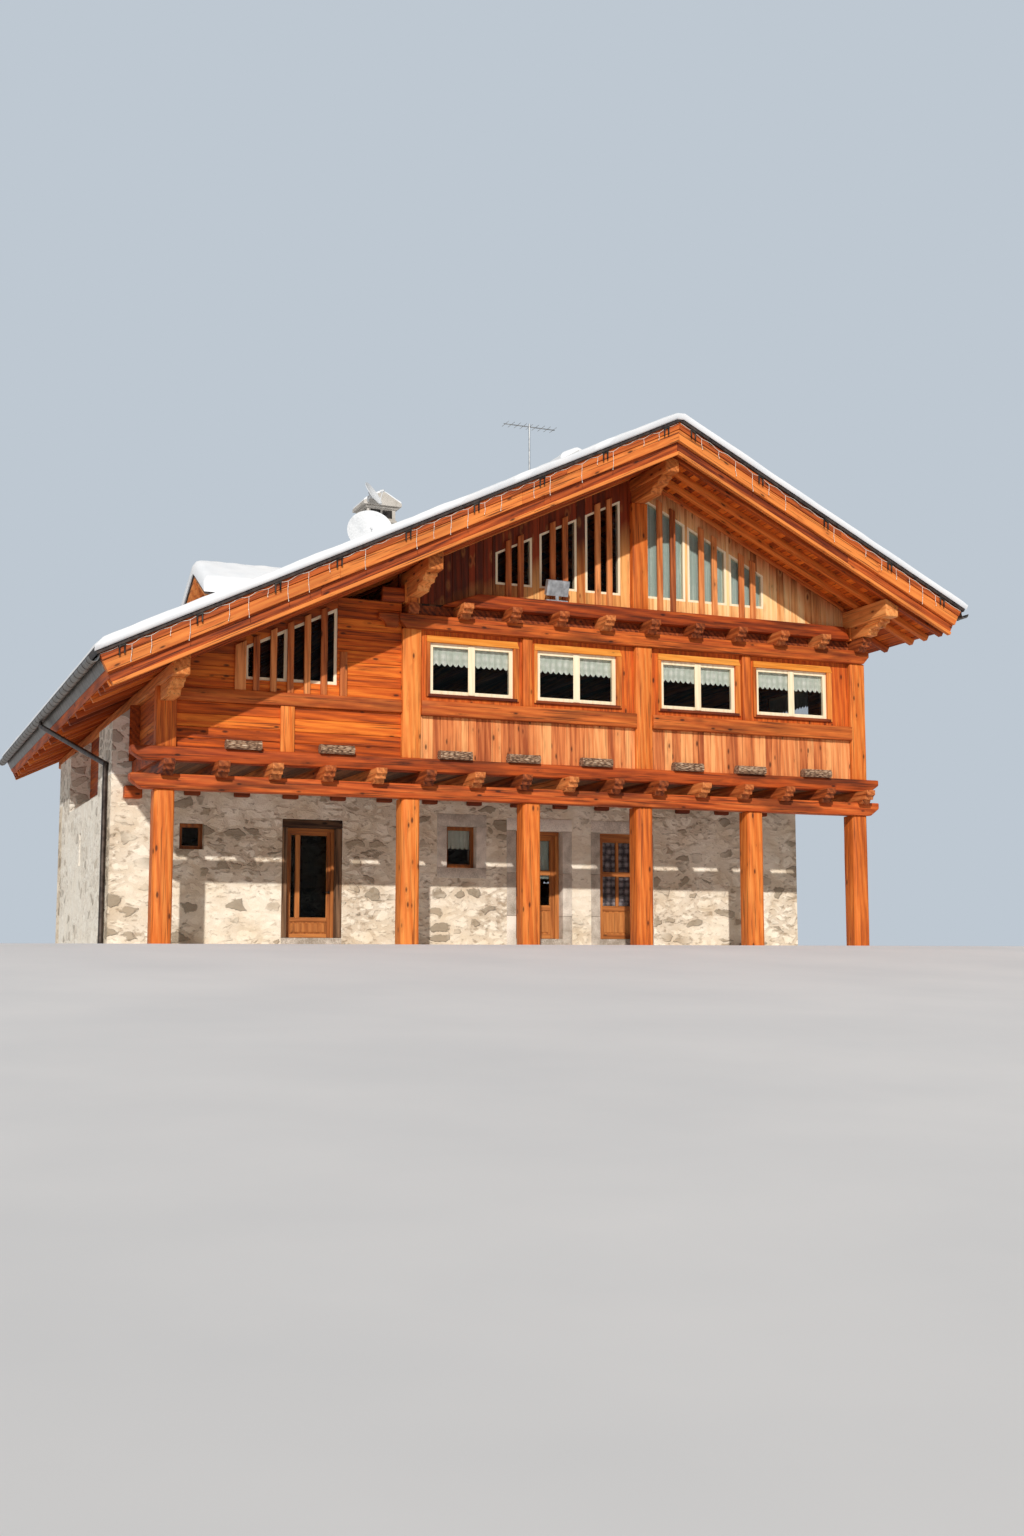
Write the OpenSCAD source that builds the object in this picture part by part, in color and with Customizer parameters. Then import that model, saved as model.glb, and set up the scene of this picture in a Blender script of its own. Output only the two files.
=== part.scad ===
// Alpine chalet: a rubble stone ground floor set back behind a porch, and a timber storey that
// stands out over it on posts, under one wide saddle roof.
// x runs along the gable front from the west post line, y runs back from the face of the porch
// posts, z is up from the ground. The finished model is moved to the middle of its plan.

/* [Plan] */
// Porch bay from the west corner post to the second post
bay_1 = 4540; // [4200:10:4900]
// Porch bay between the second and third posts
bay_2 = 2440; // [2300:10:2600]
// Porch bay between the third and fourth posts, under the ridge
bay_3 = 2410; // [2300:10:2600]
// Porch bay between the fourth and fifth posts
bay_4 = 2500; // [2350:10:2700]
// Porch bay from the fifth post to the east corner post
bay_5 = 2510; // [2350:10:2700]
// Depth of the timber storey from front face to back face
upper_depth = 12700; // [11500:50:14500]
// Depth of the porch under the timber storey, at the front and at the back
porch_depth = 2500; // [2200:10:2700]

/* [Stone storey] */
// Thickness of the stone walls
wall_t = 550; // [450:10:600]
// How far the west stone wall stands out past the middle of the corner post
west_out = 550; // [450:10:600]
// Top of the ground floor and of the door sills
floor_z = 150; // [100:5:200]
// Width of the porch doorways between their stone jambs
door_w = 1050; // [950:10:1100]
// Width of the west doorway between the rubble on its two sides
west_door_w = 1215; // [1150:5:1260]
// Height of the porch doorways above the ground
door_top = 2380; // [2250:10:2420]
// Width of the dressed stone jambs and lintels
jamb_w = 210; // [150:10:230]
// How far the door frames stand back from the wall face
door_recess = 200; // [150:10:240]
// Thickness of a door leaf
leaf_t = 56; // [44:1:60]
// Running gap around a door leaf
leaf_gap = 8; // [6:1:10]

/* [Timber frame] */
// Width of a square porch post
post_w = 360; // [300:10:400]
// Underside of the lower porch beam
beam_z = 2700; // [2650:10:2760]
// Height of the lower porch beam
beam_h = 270; // [240:10:300]
// Height of the floor joists
joist_h = 230; // [200:10:250]
// Width of the floor joists
joist_w = 200; // [160:10:220]
// Height of the sill beam on the joist ends
sill_h = 250; // [220:10:280]
// Front to back width of the porch beams
beam_w = 300; // [260:10:320]
// How far the beams stand out in front of the posts
beam_out = 60; // [30:5:80]
// How far the joist ends stand out in front of the posts
joist_out = 400; // [340:10:460]
// How far the beams run past the corner posts
beam_past = 430; // [350:10:500]
// Number of floor joists
joists_n = 16; // [13:1:18]
// Height of the upper canopy beam above the heads of the band windows
head_gap = 220; // [180:10:300]
// Height of the upper canopy joists
canopy_joist_h = 220; // [190:10:240]
// Number of joists in the upper canopy
canopy_joists_n = 11; // [9:1:12]

/* [Windows] */
// Sill height of the window band above the ground
band_sill = 4700; // [4650:10:4760]
// Height of the band windows
band_h = 980; // [900:10:1010]
// Width of the band windows
band_w = 1700; // [1550:10:1760]
// Thickness of the timber walls
timber_t = 120; // [100:5:140]
// Width of the window frame members
sash_w = 75; // [55:5:90]
// Thickness of the glass units
glass_t = 24; // [16:1:30]

/* [Roof] */
// Height of the roof covering at the ridge above the top of the upper canopy
ridge_h = 3490; // [3350:10:3650]
// Fall of the roof for each unit across
pitch = 0.49; // [0.48:0.005:0.5]
// How far the west eave stands out past the middle of the corner post
eave_west = 1460; // [1300:10:1600]
// How far the east eave stands out past the middle of the corner post
eave_east = 1530; // [1300:10:1650]
// How far the gable verges stand out past the timber storey
verge_out = 1600; // [1450:10:1800]
// Thickness of the covering, measured upright
cover_t = 130; // [100:5:150]
// Thickness of the insulated roof deck, measured upright
deck_t = 440; // [380:10:460]
// Thickness of the soffit boards, measured upright
soffit_t = 30; // [25:1:40]
// Depth of the rafters, measured upright
rafter_h = 130; // [110:5:160]
// Width of the rafters
rafter_w = 120; // [100:5:140]
// Number of rafters on each slope
rafters_n = 18; // [15:1:20]
// Width and height of a purlin
purlin_w = 300; // [260:10:320]
// Height of a purlin
purlin_h = 300; // [260:10:320]
// Radius of the half round gutter
gutter_r = 90; // [75:1:100]

/* [Hidden] */
$fn = 48;

post_x = [0, bay_1, bay_1 + bay_2, bay_1 + bay_2 + bay_3, bay_1 + bay_2 + bay_3 + bay_4,
    bay_1 + bay_2 + bay_3 + bay_4 + bay_5];
span = post_x[5];
main_x = [post_x[1], post_x[3], post_x[5]];
ridge_x = post_x[3];
half_post = post_w / 2;
stone_y0 = porch_depth;
stone_y1 = upper_depth - porch_depth;
stone_x0 = -west_out;
stone_x1 = span;
joist_z = beam_z + beam_h;
deck_z = joist_z + joist_h;
rail_z = deck_z + sill_h;
canopy_z = band_sill + band_h + head_gap;
canopy_joist_z = canopy_z + beam_h;
cap_z = canopy_joist_z + canopy_joist_h;
cap_h = beam_h;
gable_z = cap_z + cap_h;
ridge_z = gable_z + ridge_h;
floor_t = 60;
// Gap that keeps sloping faces from cutting into each other
seat_gap = 0.3;
wall_y = 100;
gable_y = 260;
eave_x0 = -eave_west;
eave_x1 = span + eave_east;
soffit_d = cover_t + deck_t;
rafter_d = soffit_d + soffit_t;
purlin_d = rafter_d + rafter_h;
joist_pitch = span / (joists_n - 1);
canopy_pitch = (span - bay_1) / (canopy_joists_n - 1);
upper_post_t = beam_w - beam_out;

// The slopes meet over the ridge purlin with a narrow joint
ridge_joint = 2;

// Height of the roof covering above a place across the plan
function roof_z(x) = ridge_z - pitch * abs(x - ridge_x);
// Underside of the rafters, where the purlins end
function under_z(x) = roof_z(x) - purlin_d;
// Top of the gable walls, just under the soffit
function soffit_z(x) = roof_z(x) - rafter_d - seat_gap;

// The model's origin is the middle of the timber storey's plan, on the ground
module placed() {
    translate([-span / 2, -upper_depth / 2, 0])
        children();
}

// Turns an outline drawn across and up into a solid that runs from y0 to y1
module along_y(y0, y1) {
    translate([0, y1, 0])
        rotate([90, 0, 0])
            linear_extrude(y1 - y0)
                children();
}

// Turns an outline drawn back and up into a solid that runs from x0 to x1
module along_x(x0, x1) {
    translate([x0, 0, 0])
        rotate([90, 0, 90])
            linear_extrude(x1 - x0)
                children();
}

// A block between two corners
module block(x0, x1, y0, y1, z0, z1) {
    translate([x0, y0, z0])
        cube([x1 - x0, y1 - y0, z1 - z0]);
}

// The front piece, and the same piece turned over to the back
module front_and_back() {
    children();
    at_back()
        children();
}

module at_back() {
    translate([0, upper_depth, 0])
        mirror([0, 1, 0])
            children();
}

// A strip of the roof slope, between two depths under the covering, with upright ends
module slope_strip(x0, x1, d0, d1) {
    polygon([[x0, roof_z(x0) - d0], [x1, roof_z(x1) - d0],
        [x1, roof_z(x1) - d1], [x0, roof_z(x0) - d1]]);
}

// How far an end that is cut square to the slope goes back, for each unit of depth
square_cut = pitch / (1 + pitch * pitch);

// Place of a strip's end at some depth: upright at the ridge, square to the slope at the eaves
function end_x(x, d) = abs(x - ridge_x) < ridge_joint * 2 ? x
    : x + (x < ridge_x ? square_cut : -square_cut) * d;

module eave_strip(x0, x1, d0, d1) {
    polygon([for (e = [[x0, d0], [x1, d0], [x1, d1], [x0, d1]])
        [end_x(e[0], e[1]), roof_z(end_x(e[0], e[1])) - e[1]]]);
}

// Rectangle between two corners, for outlines
module rect(x0, x1, z0, z1) {
    translate([x0, z0])
        square([x1 - x0, z1 - z0]);
}

/* Stone storey */

// Places of the doorways: left edge of each clear opening in the porch wall
door_x = [2750, 7680, 9590];
granite_door_x = [door_x[1], door_x[2]];
door_x1 = [door_x[0] + west_door_w, door_x[1] + door_w, door_x[2] + door_w];
lintel_h = 250;
// How much higher the old frame of the west doorway is than the stone lintels' undersides
old_frame_lift = 80;
// Porch wall windows: left, right, bottom and top of the clear opening
cellar_window = [750, 1220, 1820, 2320];
kitchen_window = [6160, 6800, 1580, 2420];
// The unseen walls repeat the kitchen window
side_window = [640, 1580, 2420];
back_window_x = [2600, 7000, 11400];
east_window_y = [4300, 7800];
// Fall of the west piers' tops from the purlin to their outer face
pier_fall = 319;
// Notch between the stone piers of the west wall, closed by a timber panel: front edge, back edge,
// bottom of the notch and bottom of the panel
west_bay = [4200, 8400, 2950, 3260];
// Slit window: front edge, back edge, bottom and top
slit = [6450, 6700, 1680, 2360];
surround_band = [5950, 7020];

// Pockets that the floor joists pass through in the top of the stone walls
module joist_pockets(y0, y1) {
    for (i = [0 : joists_n - 1])
        block(i * joist_pitch - joist_w / 2, i * joist_pitch + joist_w / 2,
            y0, y1, joist_z, deck_z);
}

module front_wall_piece(x0, x1) {
    color("gainsboro")
        difference() {
            block(x0, x1, stone_y0, stone_y0 + wall_t, 0, deck_z);
            joist_pockets(stone_y0, stone_y0 + wall_t);
            children();
        }
}

module window_hole(w) {
    block(w[0], w[1], stone_y0, stone_y0 + wall_t, w[2], w[3]);
}

module front_wall_west() {
    front_wall_piece(stone_x0, door_x[0])
        window_hole(cellar_window);
}

module front_wall_middle() {
    front_wall_piece(door_x1[0], door_x[1] - jamb_w)
        window_hole([surround_band[0], surround_band[1], kitchen_window[2] - jamb_w,
            kitchen_window[3] + lintel_h]);
}

module front_wall_centre() {
    color("gainsboro")
        block(door_x1[1] + jamb_w, door_x[2] - jamb_w, stone_y0, stone_y0 + wall_t,
            0, door_top + lintel_h);
}

module front_wall_east() {
    front_wall_piece(door_x1[2] + jamb_w, stone_x1);
}

// The wall over the doorways
module front_wall_head() {
    color("gainsboro") {
        difference() {
            block(door_x[0], door_x1[0], stone_y0, stone_y0 + wall_t,
                door_top + old_frame_lift, deck_z);
            joist_pockets(stone_y0, stone_y0 + wall_t);
        }
        difference() {
            block(door_x[1] - jamb_w, door_x1[2] + jamb_w, stone_y0, stone_y0 + wall_t,
                door_top + lintel_h, deck_z);
            joist_pockets(stone_y0, stone_y0 + wall_t);
        }
    }
}

module back_wall() {
    color("gainsboro")
        difference() {
            block(stone_x0, stone_x1, stone_y1 - wall_t, stone_y1, 0, deck_z);
            joist_pockets(stone_y1 - wall_t, stone_y1);
            for (x = back_window_x)
                block(x, x + side_window[0], stone_y1 - wall_t, stone_y1,
                    side_window[1], side_window[2]);
        }
}

// The west wall climbs to the purlin over the corner posts, with a top that falls outwards and a
// wide notch between its two piers
module west_wall() {
    color("gainsboro")
        difference() {
            union() {
                along_y(stone_y0 + wall_t, stone_y1 - wall_t)
                    rect(stone_x0, stone_x0 + wall_t, 0, deck_z);
                along_y(stone_y0, stone_y1)
                    polygon([[stone_x0, deck_z], [0, deck_z], [0, plate_z],
                        [-purlin_w / 2, plate_z], [stone_x0, plate_z - pier_fall]]);
            }
            joist_pockets(stone_y0, stone_y1);
            block(stone_x0 - 1, -timber_t, west_bay[0], west_bay[1], west_bay[2], plate_z + 1);
            block(-timber_t - 1, 1, west_bay[0], west_bay[1], west_bay[3], plate_z + 1);
            block(stone_x0 - 1, 1, slit[0], slit[1], slit[2], slit[3]);
        }
}

module east_wall() {
    color("gainsboro")
        difference() {
            block(stone_x1 - wall_t, stone_x1, stone_y0 + wall_t, stone_y1 - wall_t, 0, deck_z);
            joist_pockets(stone_y0 + wall_t, stone_y1 - wall_t);
            for (y = east_window_y)
                block(stone_x1 - wall_t, stone_x1, y, y + side_window[0],
                    side_window[1], side_window[2]);
        }
}

module ground_floor() {
    color("lightgray")
        block(stone_x0 + wall_t, stone_x1 - wall_t, stone_y0 + wall_t, stone_y1 - wall_t,
            0, floor_z);
}

module door_sills() {
    color("silver")
        for (i = [0 : 2])
            block(door_x[i], door_x1[i], stone_y0, stone_y0 + wall_t, 0, floor_z);
}

// Dressed granite round two doorways and the kitchen window
module stone_surrounds() {
    color("silver") {
        for (x = granite_door_x)
            along_y(stone_y0, stone_y0 + wall_t)
                difference() {
                    rect(x - jamb_w, x + door_w + jamb_w, 0, door_top + lintel_h);
                    rect(x, x + door_w, -1, door_top);
                }
        along_y(stone_y0, stone_y0 + wall_t)
            difference() {
                rect(surround_band[0], surround_band[1], kitchen_window[2] - jamb_w,
                    kitchen_window[3] + lintel_h);
                rect(kitchen_window[0], kitchen_window[1], kitchen_window[2],
                    kitchen_window[3]);
            }
    }
}

/* Doors */

// Width of each door frame outside its leaf
frame_w = [45, 70, 70];
stop_lap = 15;
stop_t = 45;
leaf_y = stone_y0 + door_recess + stop_t + leaf_gap;
// Width of the old frame's two sides and height of its head
old_frame_w = 110;
old_head_h = 160;
// Clear width of each timber door frame: the west one stands inside an old outer frame
frame_x0 = [door_x[0] + old_frame_w, door_x[1], door_x[2]];
frame_x1 = [door_x1[0] - old_frame_w, door_x1[1], door_x1[2]];
frame_top = [door_top + old_frame_lift - old_head_h, door_top, door_top];
leaf_z0 = floor_z + leaf_gap;
stile_w = [70, 95, 95];

module door_frame(i) {
    x0 = frame_x0[i];
    x1 = frame_x1[i];
    z1 = frame_top[i];
    frame_y = stone_y0 + door_recess;
    along_y(frame_y, frame_y + stop_t)
        difference() {
            rect(x0, x1, floor_z, z1);
            rect(x0 + frame_w[i] + stop_lap, x1 - frame_w[i] - stop_lap, 0,
                z1 - frame_w[i] - stop_lap);
        }
    along_y(frame_y + stop_t, leaf_y + leaf_t)
        difference() {
            rect(x0, x1, floor_z, z1);
            rect(x0 + frame_w[i], x1 - frame_w[i], 0, z1 - frame_w[i]);
        }
}

module door_frames() {
    color("peru") {
        for (i = [0 : 2])
            door_frame(i);
        along_y(stone_y0, leaf_y + leaf_t)
            difference() {
                rect(door_x[0], door_x1[0], floor_z, door_top + old_frame_lift);
                rect(frame_x0[0], frame_x1[0], 0, frame_top[0]);
            }
    }
}

function leaf_x0(i) = frame_x0[i] + frame_w[i] + leaf_gap;
function leaf_x1(i) = frame_x1[i] - frame_w[i] - leaf_gap;
function leaf_top(i) = frame_top[i] - frame_w[i] - leaf_gap;

// Panes of a leaf: left, right, bottom and top as parts of the leaf's clear width and height
west_panes = [[0, 0.15, 0.16, 1], [0.25, 1, 0.16, 1]];
middle_panes = [[0, 1, 0.30, 0.63], [0, 1, 0.67, 1]];
east_panes = [[0, 0.47, 0.30, 0.63], [0.53, 1, 0.30, 0.63], [0, 0.47, 0.67, 1],
    [0.53, 1, 0.67, 1]];

module pane_outline(i, p, grow) {
    x0 = leaf_x0(i) + stile_w[i];
    w = leaf_x1(i) - leaf_x0(i) - 2 * stile_w[i];
    z0 = leaf_z0 + stile_w[i];
    h = leaf_top(i) - leaf_z0 - 2 * stile_w[i];
    rect(x0 + p[0] * w - grow, x0 + p[1] * w + grow, z0 + p[2] * h - grow, z0 + p[3] * h + grow);
}

glass_seat = 12;

module door_leaf(i, panes) {
    mid = leaf_y + leaf_t / 2;
    color("peru")
        difference() {
            along_y(leaf_y, leaf_y + leaf_t)
                rect(leaf_x0(i), leaf_x1(i), leaf_z0, leaf_top(i));
            for (p = panes) {
                along_y(leaf_y - 1, leaf_y + leaf_t + 1)
                    pane_outline(i, p, 0);
                along_y(mid - glass_t / 2, mid + glass_t / 2)
                    pane_outline(i, p, glass_seat);
            }
        }
}

module door_glass(i, panes) {
    mid = leaf_y + leaf_t / 2;
    color("lightblue")
        for (p = panes)
            along_y(mid - glass_t / 2, mid + glass_t / 2)
                pane_outline(i, p, glass_seat);
}

module door_leaf_west() {
    door_leaf(0, west_panes);
}

module door_glass_west() {
    door_glass(0, west_panes);
}

module door_leaf_middle() {
    door_leaf(1, middle_panes);
}

module door_glass_middle() {
    door_glass(1, middle_panes);
}

module door_leaf_east() {
    door_leaf(2, east_panes);
}

module door_glass_east() {
    door_glass(2, east_panes);
}

/* Door hinges and handles */

hinge_off = 16;
hinge_r = 9;
pin_r = 4;
pin_gap = 0.3;
knuckle_h = 45;
plate_w = 55;
plate_t = 4;
web_t = 5;
hinge_up = 180;
// Side of each leaf that the hinges are on, seen from the porch: 1 for west, -1 for east
hinge_side = [1, -1, 1];

function hinge_x(i) = hinge_side[i] > 0 ? leaf_x0(i) - leaf_gap / 2 : leaf_x1(i) + leaf_gap / 2;
function hinge_z(i) = [leaf_z0 + hinge_up, leaf_top(i) - hinge_up - 2 * knuckle_h];

// One half of a hinge about its axis: a knuckle, its web and the plate on the wood; side 1 is the
// leaf's half
module hinge_half(side, h) {
    cylinder(r = hinge_r, h = h);
    translate([side > 0 ? leaf_gap / 2 : -leaf_gap / 2 - web_t, -hinge_off, 0])
        cube([web_t, hinge_off, h]);
    translate([side > 0 ? leaf_gap / 2 : -plate_w, -hinge_off, 0])
        cube([plate_w - leaf_gap / 2, plate_t, h]);
}

module at_hinge(i, z) {
    translate([hinge_x(i), leaf_y + leaf_t + hinge_off, z])
        mirror([hinge_side[i] > 0 ? 0 : 1, 0, 0])
            children();
}

// The halves on the frames, with the pins
module hinge_pins() {
    color("dimgray")
        for (i = [0 : 2], z = hinge_z(i))
            at_hinge(i, z) {
                hinge_half(-1, knuckle_h);
                cylinder(r = pin_r, h = 2 * knuckle_h - 2);
            }
}

handle_z = 1050;
rose_r = 22;
rose_t = 8;
neck_r = 8;
neck_len = 50;
lever_len = 115;
lever_h = 18;
lever_t = 12;

// A lever on one face of the leaf, pointing to the hinge
module lever() {
    cylinder(r = rose_r, h = rose_t);
    cylinder(r = neck_r, h = neck_len);
    translate([-lever_len + lever_h / 2, -lever_h / 2, neck_len - lever_t])
        cube([lever_len, lever_h, lever_t]);
}

// The halves of the hinges on a leaf, and its two levers
module door_fittings(i) {
    x = hinge_side[i] > 0 ? leaf_x1(i) - stile_w[i] / 2 : leaf_x0(i) + stile_w[i] / 2;
    color("dimgray") {
        for (z = hinge_z(i))
            at_hinge(i, z + knuckle_h + pin_gap)
                difference() {
                    hinge_half(1, knuckle_h - pin_gap);
                    translate([0, 0, -1])
                        cylinder(r = pin_r + pin_gap, h = knuckle_h + 2);
                }
        for (face = [0, 1])
            translate([x, leaf_y + face * leaf_t, handle_z])
                mirror([hinge_side[i] > 0 ? 0 : 1, 0, 0])
                    mirror([0, face, 0])
                        rotate([90, 0, 0])
                            lever();
    }
}

module door_fittings_west() {
    door_fittings(0);
}

module door_fittings_middle() {
    door_fittings(1);
}

module door_fittings_east() {
    door_fittings(2);
}

/* Stone storey windows */

window_y = 160;
window_t = 60;

// Outline of a window frame, and of the pane inside it
module frame_of(x0, x1, z0, z1) {
    difference() {
        rect(x0, x1, z0, z1);
        pane_of(x0, x1, z0, z1);
    }
}

module pane_of(x0, x1, z0, z1) {
    rect(x0 + sash_w, x1 - sash_w, z0 + sash_w, z1 - sash_w);
}

// Draws either the frame or only the pane
module window_part(x0, x1, z0, z1, glass) {
    if (glass)
        pane_of(x0, x1, z0, z1);
    else
        frame_of(x0, x1, z0, z1);
}

// All windows of the stone storey, set back from the wall face
module stone_windows(inset, t, glass) {
    for (w = [cellar_window, kitchen_window])
        along_y(stone_y0 + inset, stone_y0 + inset + t)
            window_part(w[0], w[1], w[2], w[3], glass);
    for (x = back_window_x)
        along_y(stone_y1 - inset - t, stone_y1 - inset)
            window_part(x, x + side_window[0], side_window[1], side_window[2], glass);
    for (y = east_window_y)
        along_x(stone_x1 - inset - t, stone_x1 - inset)
            window_part(y, y + side_window[0], side_window[1], side_window[2], glass);
}

module ground_windows() {
    color("peru")
        stone_windows(window_y, window_t, false);
}

module ground_glass() {
    color("lightblue")
        stone_windows(window_y + (window_t - glass_t) / 2, glass_t, true);
}

/* Porch frame */

post_chamfer = 45;

module post_row() {
    for (x = post_x)
        translate([x - half_post, 0, 0])
            linear_extrude(beam_z)
                polygon([[post_chamfer, 0], [post_w - post_chamfer, 0], [post_w, post_chamfer],
                    [post_w, post_w], [0, post_w], [0, post_chamfer]]);
}

module porch_posts() {
    color("chocolate")
        front_and_back()
            post_row();
}

// A beam across the front with its lower corners cut back at both ends
module long_beam(x0, x1, z0, h, cut) {
    along_y(-beam_out, beam_w - beam_out)
        polygon([[x0 + cut, z0], [x1 - cut, z0], [x1, z0 + h * 0.55], [x1, z0 + h],
            [x0, z0 + h], [x0, z0 + h * 0.55]]);
}

end_cut = 200;
// Length, width and height of the short log that carries the first joist at the stone wall
side_log = [330, 220, 230];

// A beam over all the posts, at the front and at the back, where it ends at the west corner post
module post_beam(z0, h) {
    x0 = -half_post - beam_past;
    long_beam(x0, span + beam_past, z0, h, end_cut);
    at_back()
        difference() {
            long_beam(x0, span + beam_past, z0, h, end_cut);
            block(x0 - 1, -half_post, -beam_out - 1, beam_w, z0 - 1, z0 + h + 1);
        }
}

module porch_beams() {
    color("chocolate") {
        post_beam(beam_z, beam_h);
        front_and_back()
            block(-side_log[0], 0, stone_y0 - side_log[1], stone_y0, joist_z - side_log[2],
                joist_z);
    }
}

nose_face = 100;
nose_hollow = 75;
nose_belly = 85;
nose_drop = 45;

// The carved end of a joist seen from the side: a square face over a hollow, then a round belly
// that hangs a little in front of the beam it rests on
module joist_nose(z0, h) {
    y0 = -joist_out;
    y_beam = -beam_out;
    z_belly = z0 - nose_drop + nose_belly;
    difference() {
        union() {
            rect(y0, y_beam, z_belly, z0 + h);
            translate([y_beam - nose_belly, z_belly])
                circle(r = nose_belly);
        }
        translate([y0, z0 + h - nose_face - nose_hollow])
            circle(r = nose_hollow);
        rect(y0 - 1, y0 + nose_hollow, z0 - nose_drop - 1, z0 + h - nose_face - nose_hollow);
    }
}

// A whole joist seen from the side, carved at both ends
module joist_outline(z0, h) {
    rect(-beam_out, upper_depth + beam_out, z0, z0 + h);
    joist_nose(z0, h);
    translate([upper_depth, 0])
        mirror([1, 0])
            joist_nose(z0, h);
}

module carved_joists() {
    color("sienna") {
        for (i = [0 : joists_n - 1])
            along_x(i * joist_pitch - joist_w / 2, i * joist_pitch + joist_w / 2)
                joist_outline(joist_z, joist_h);
        for (i = [1 : canopy_joists_n - 1])
            along_x(post_x[1] + i * canopy_pitch - joist_w / 2,
                post_x[1] + i * canopy_pitch + joist_w / 2)
                joist_outline(canopy_joist_z, canopy_joist_h);
        first_canopy_joist();
    }
}

log_end = 50;

// The first joist of the upper canopy, whose ends are plain round logs
module first_canopy_joist() {
    along_x(post_x[1] - joist_w / 2, post_x[1] + joist_w / 2)
        rect(-beam_out, upper_depth + beam_out, canopy_joist_z, canopy_joist_z + canopy_joist_h);
    front_and_back()
        along_y(-beam_out - log_end, -beam_out)
            translate([post_x[1], canopy_joist_z + canopy_joist_h / 2])
                circle(r = canopy_joist_h / 2);
}

module sill_beams() {
    color("chocolate") {
        post_beam(deck_z, sill_h);
        block(-half_post, 0, beam_w - beam_out, stone_y0, deck_z, rail_z);
        block(-half_post, 0, stone_y1, upper_depth - beam_w + beam_out, deck_z, rail_z);
    }
}

// Floors of the timber storey and of the attic
module timber_floors() {
    color("burlywood") {
        block(0, span + timber_t, beam_w - beam_out, upper_depth - beam_w + beam_out,
            deck_z, deck_z + floor_t);
        block(post_x[1], span, gable_y, upper_depth - gable_y, cap_z, cap_z + floor_t);
    }
}

/* Timber storey */

plate_z = under_z(0) - purlin_h;

module upper_post(x, z1) {
    block(x - half_post, x + half_post, 0, upper_post_t, rail_z, z1);
}

module upper_posts() {
    color("chocolate")
        front_and_back() {
            upper_post(0, plate_z);
            for (x = main_x)
                upper_post(x, canopy_z);
            for (x = mullion_x)
                block(x - mullion_w / 2, x + mullion_w / 2, belt_y, wall_y, rail_top, canopy_z);
            block(belt_post[0], belt_post[1], belt_post_y, wall_y, rail_z, belt[0]);
            for (x = [post_x[1], span])
                block(x - purlin_w / 2, x + purlin_w / 2, 0, upper_post_t, cap_z,
                    under_z(x) - purlin_h);
            block(ridge_x - king_w / 2, ridge_x + king_w / 2, king_y, gable_y, gable_z,
                under_z(ridge_x) - purlin_h - corbel_h);
        }
}

king_w = 340;
king_y = 110;
mullion_w = 200;
mullion_x = [post_x[2] - 80, post_x[4] - 140];
// The rail beams lie a little under the window sills
rail_gap = 150;
rail_h = 280;
rail_top = band_sill - rail_gap;
rail_low = rail_top - rail_h;
rail_proud = 50;
belt_h = 240;
belt = [rail_top - 10 - belt_h, rail_top - 10];
// How far the belt and the posts between the windows, and the belt's post, stand back
belt_y = 20;
belt_post_y = 40;
belt_post = [2060, 2320];

module rail_beams() {
    color("chocolate")
        front_and_back() {
            for (i = [0, 1])
                block(main_x[i] + half_post, main_x[i + 1] - half_post, -rail_proud, wall_y,
                    rail_low, rail_top);
            block(half_post, post_x[1] - half_post, belt_y, wall_y, belt[0], belt[1]);
        }
}

apron_t = 40;

module apron_boards() {
    color("sandybrown")
        front_and_back()
            for (i = [0, 1])
                block(main_x[i] + half_post, main_x[i + 1] - half_post,
                    wall_y - apron_t, wall_y, rail_z, rail_low);
}

// Left edges of the four double windows of the band
band_x = [4920, 7120, 9810, 12000];
side_band_first = 1900;
side_band_y = [side_band_first, (upper_depth - band_w) / 2,
    upper_depth - side_band_first - band_w];

module band_walls() {
    color("peru")
        front_and_back()
            for (i = [0, 1])
                difference() {
                    block(main_x[i] + half_post, main_x[i + 1] - half_post,
                        wall_y, wall_y + timber_t, rail_z, canopy_z);
                    for (x = band_x)
                        block(x, x + band_w, wall_y, wall_y + timber_t,
                            band_sill, band_sill + band_h);
                }
}

// The tall slatted window of the west bay, with a head that follows the roof
slat_window = [1410, 3120, belt[1] + 210];
slat_head = 150;

module west_window_outline() {
    slat(slat_window[0], slat_window[1], slat_window[2], slat_head);
}

module west_gable_walls() {
    x0 = half_post;
    x1 = post_x[1] - half_post;
    xp = purlin_w / 2;
    color("peru")
        front_and_back()
            difference() {
                along_y(wall_y, wall_y + timber_t)
                    difference() {
                        polygon([[x0, rail_z], [x1, rail_z], [x1, soffit_z(x1)],
                            [xp, soffit_z(xp)], [xp, plate_z], [x0, plate_z]]);
                        west_window_outline();
                    }
                canopy_bottom_beam();
            }
}

slat_w = 115;
slat_t = 60;
slat_x0 = 1600;
slat_pitch = 314;
slats_n = 5;
// Width of the board at the window's west edge, and the gap, width and top of the short one at
// its east edge
jamb_board = 200;
short_board = [40, 135, band_sill + 670];

// An upright board from z0 to a little under the rafters
module slat(x0, x1, z0, drop) {
    polygon([[x0, z0], [x1, z0], [x1, under_z(x1) - drop], [x0, under_z(x0) - drop]]);
}

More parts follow.
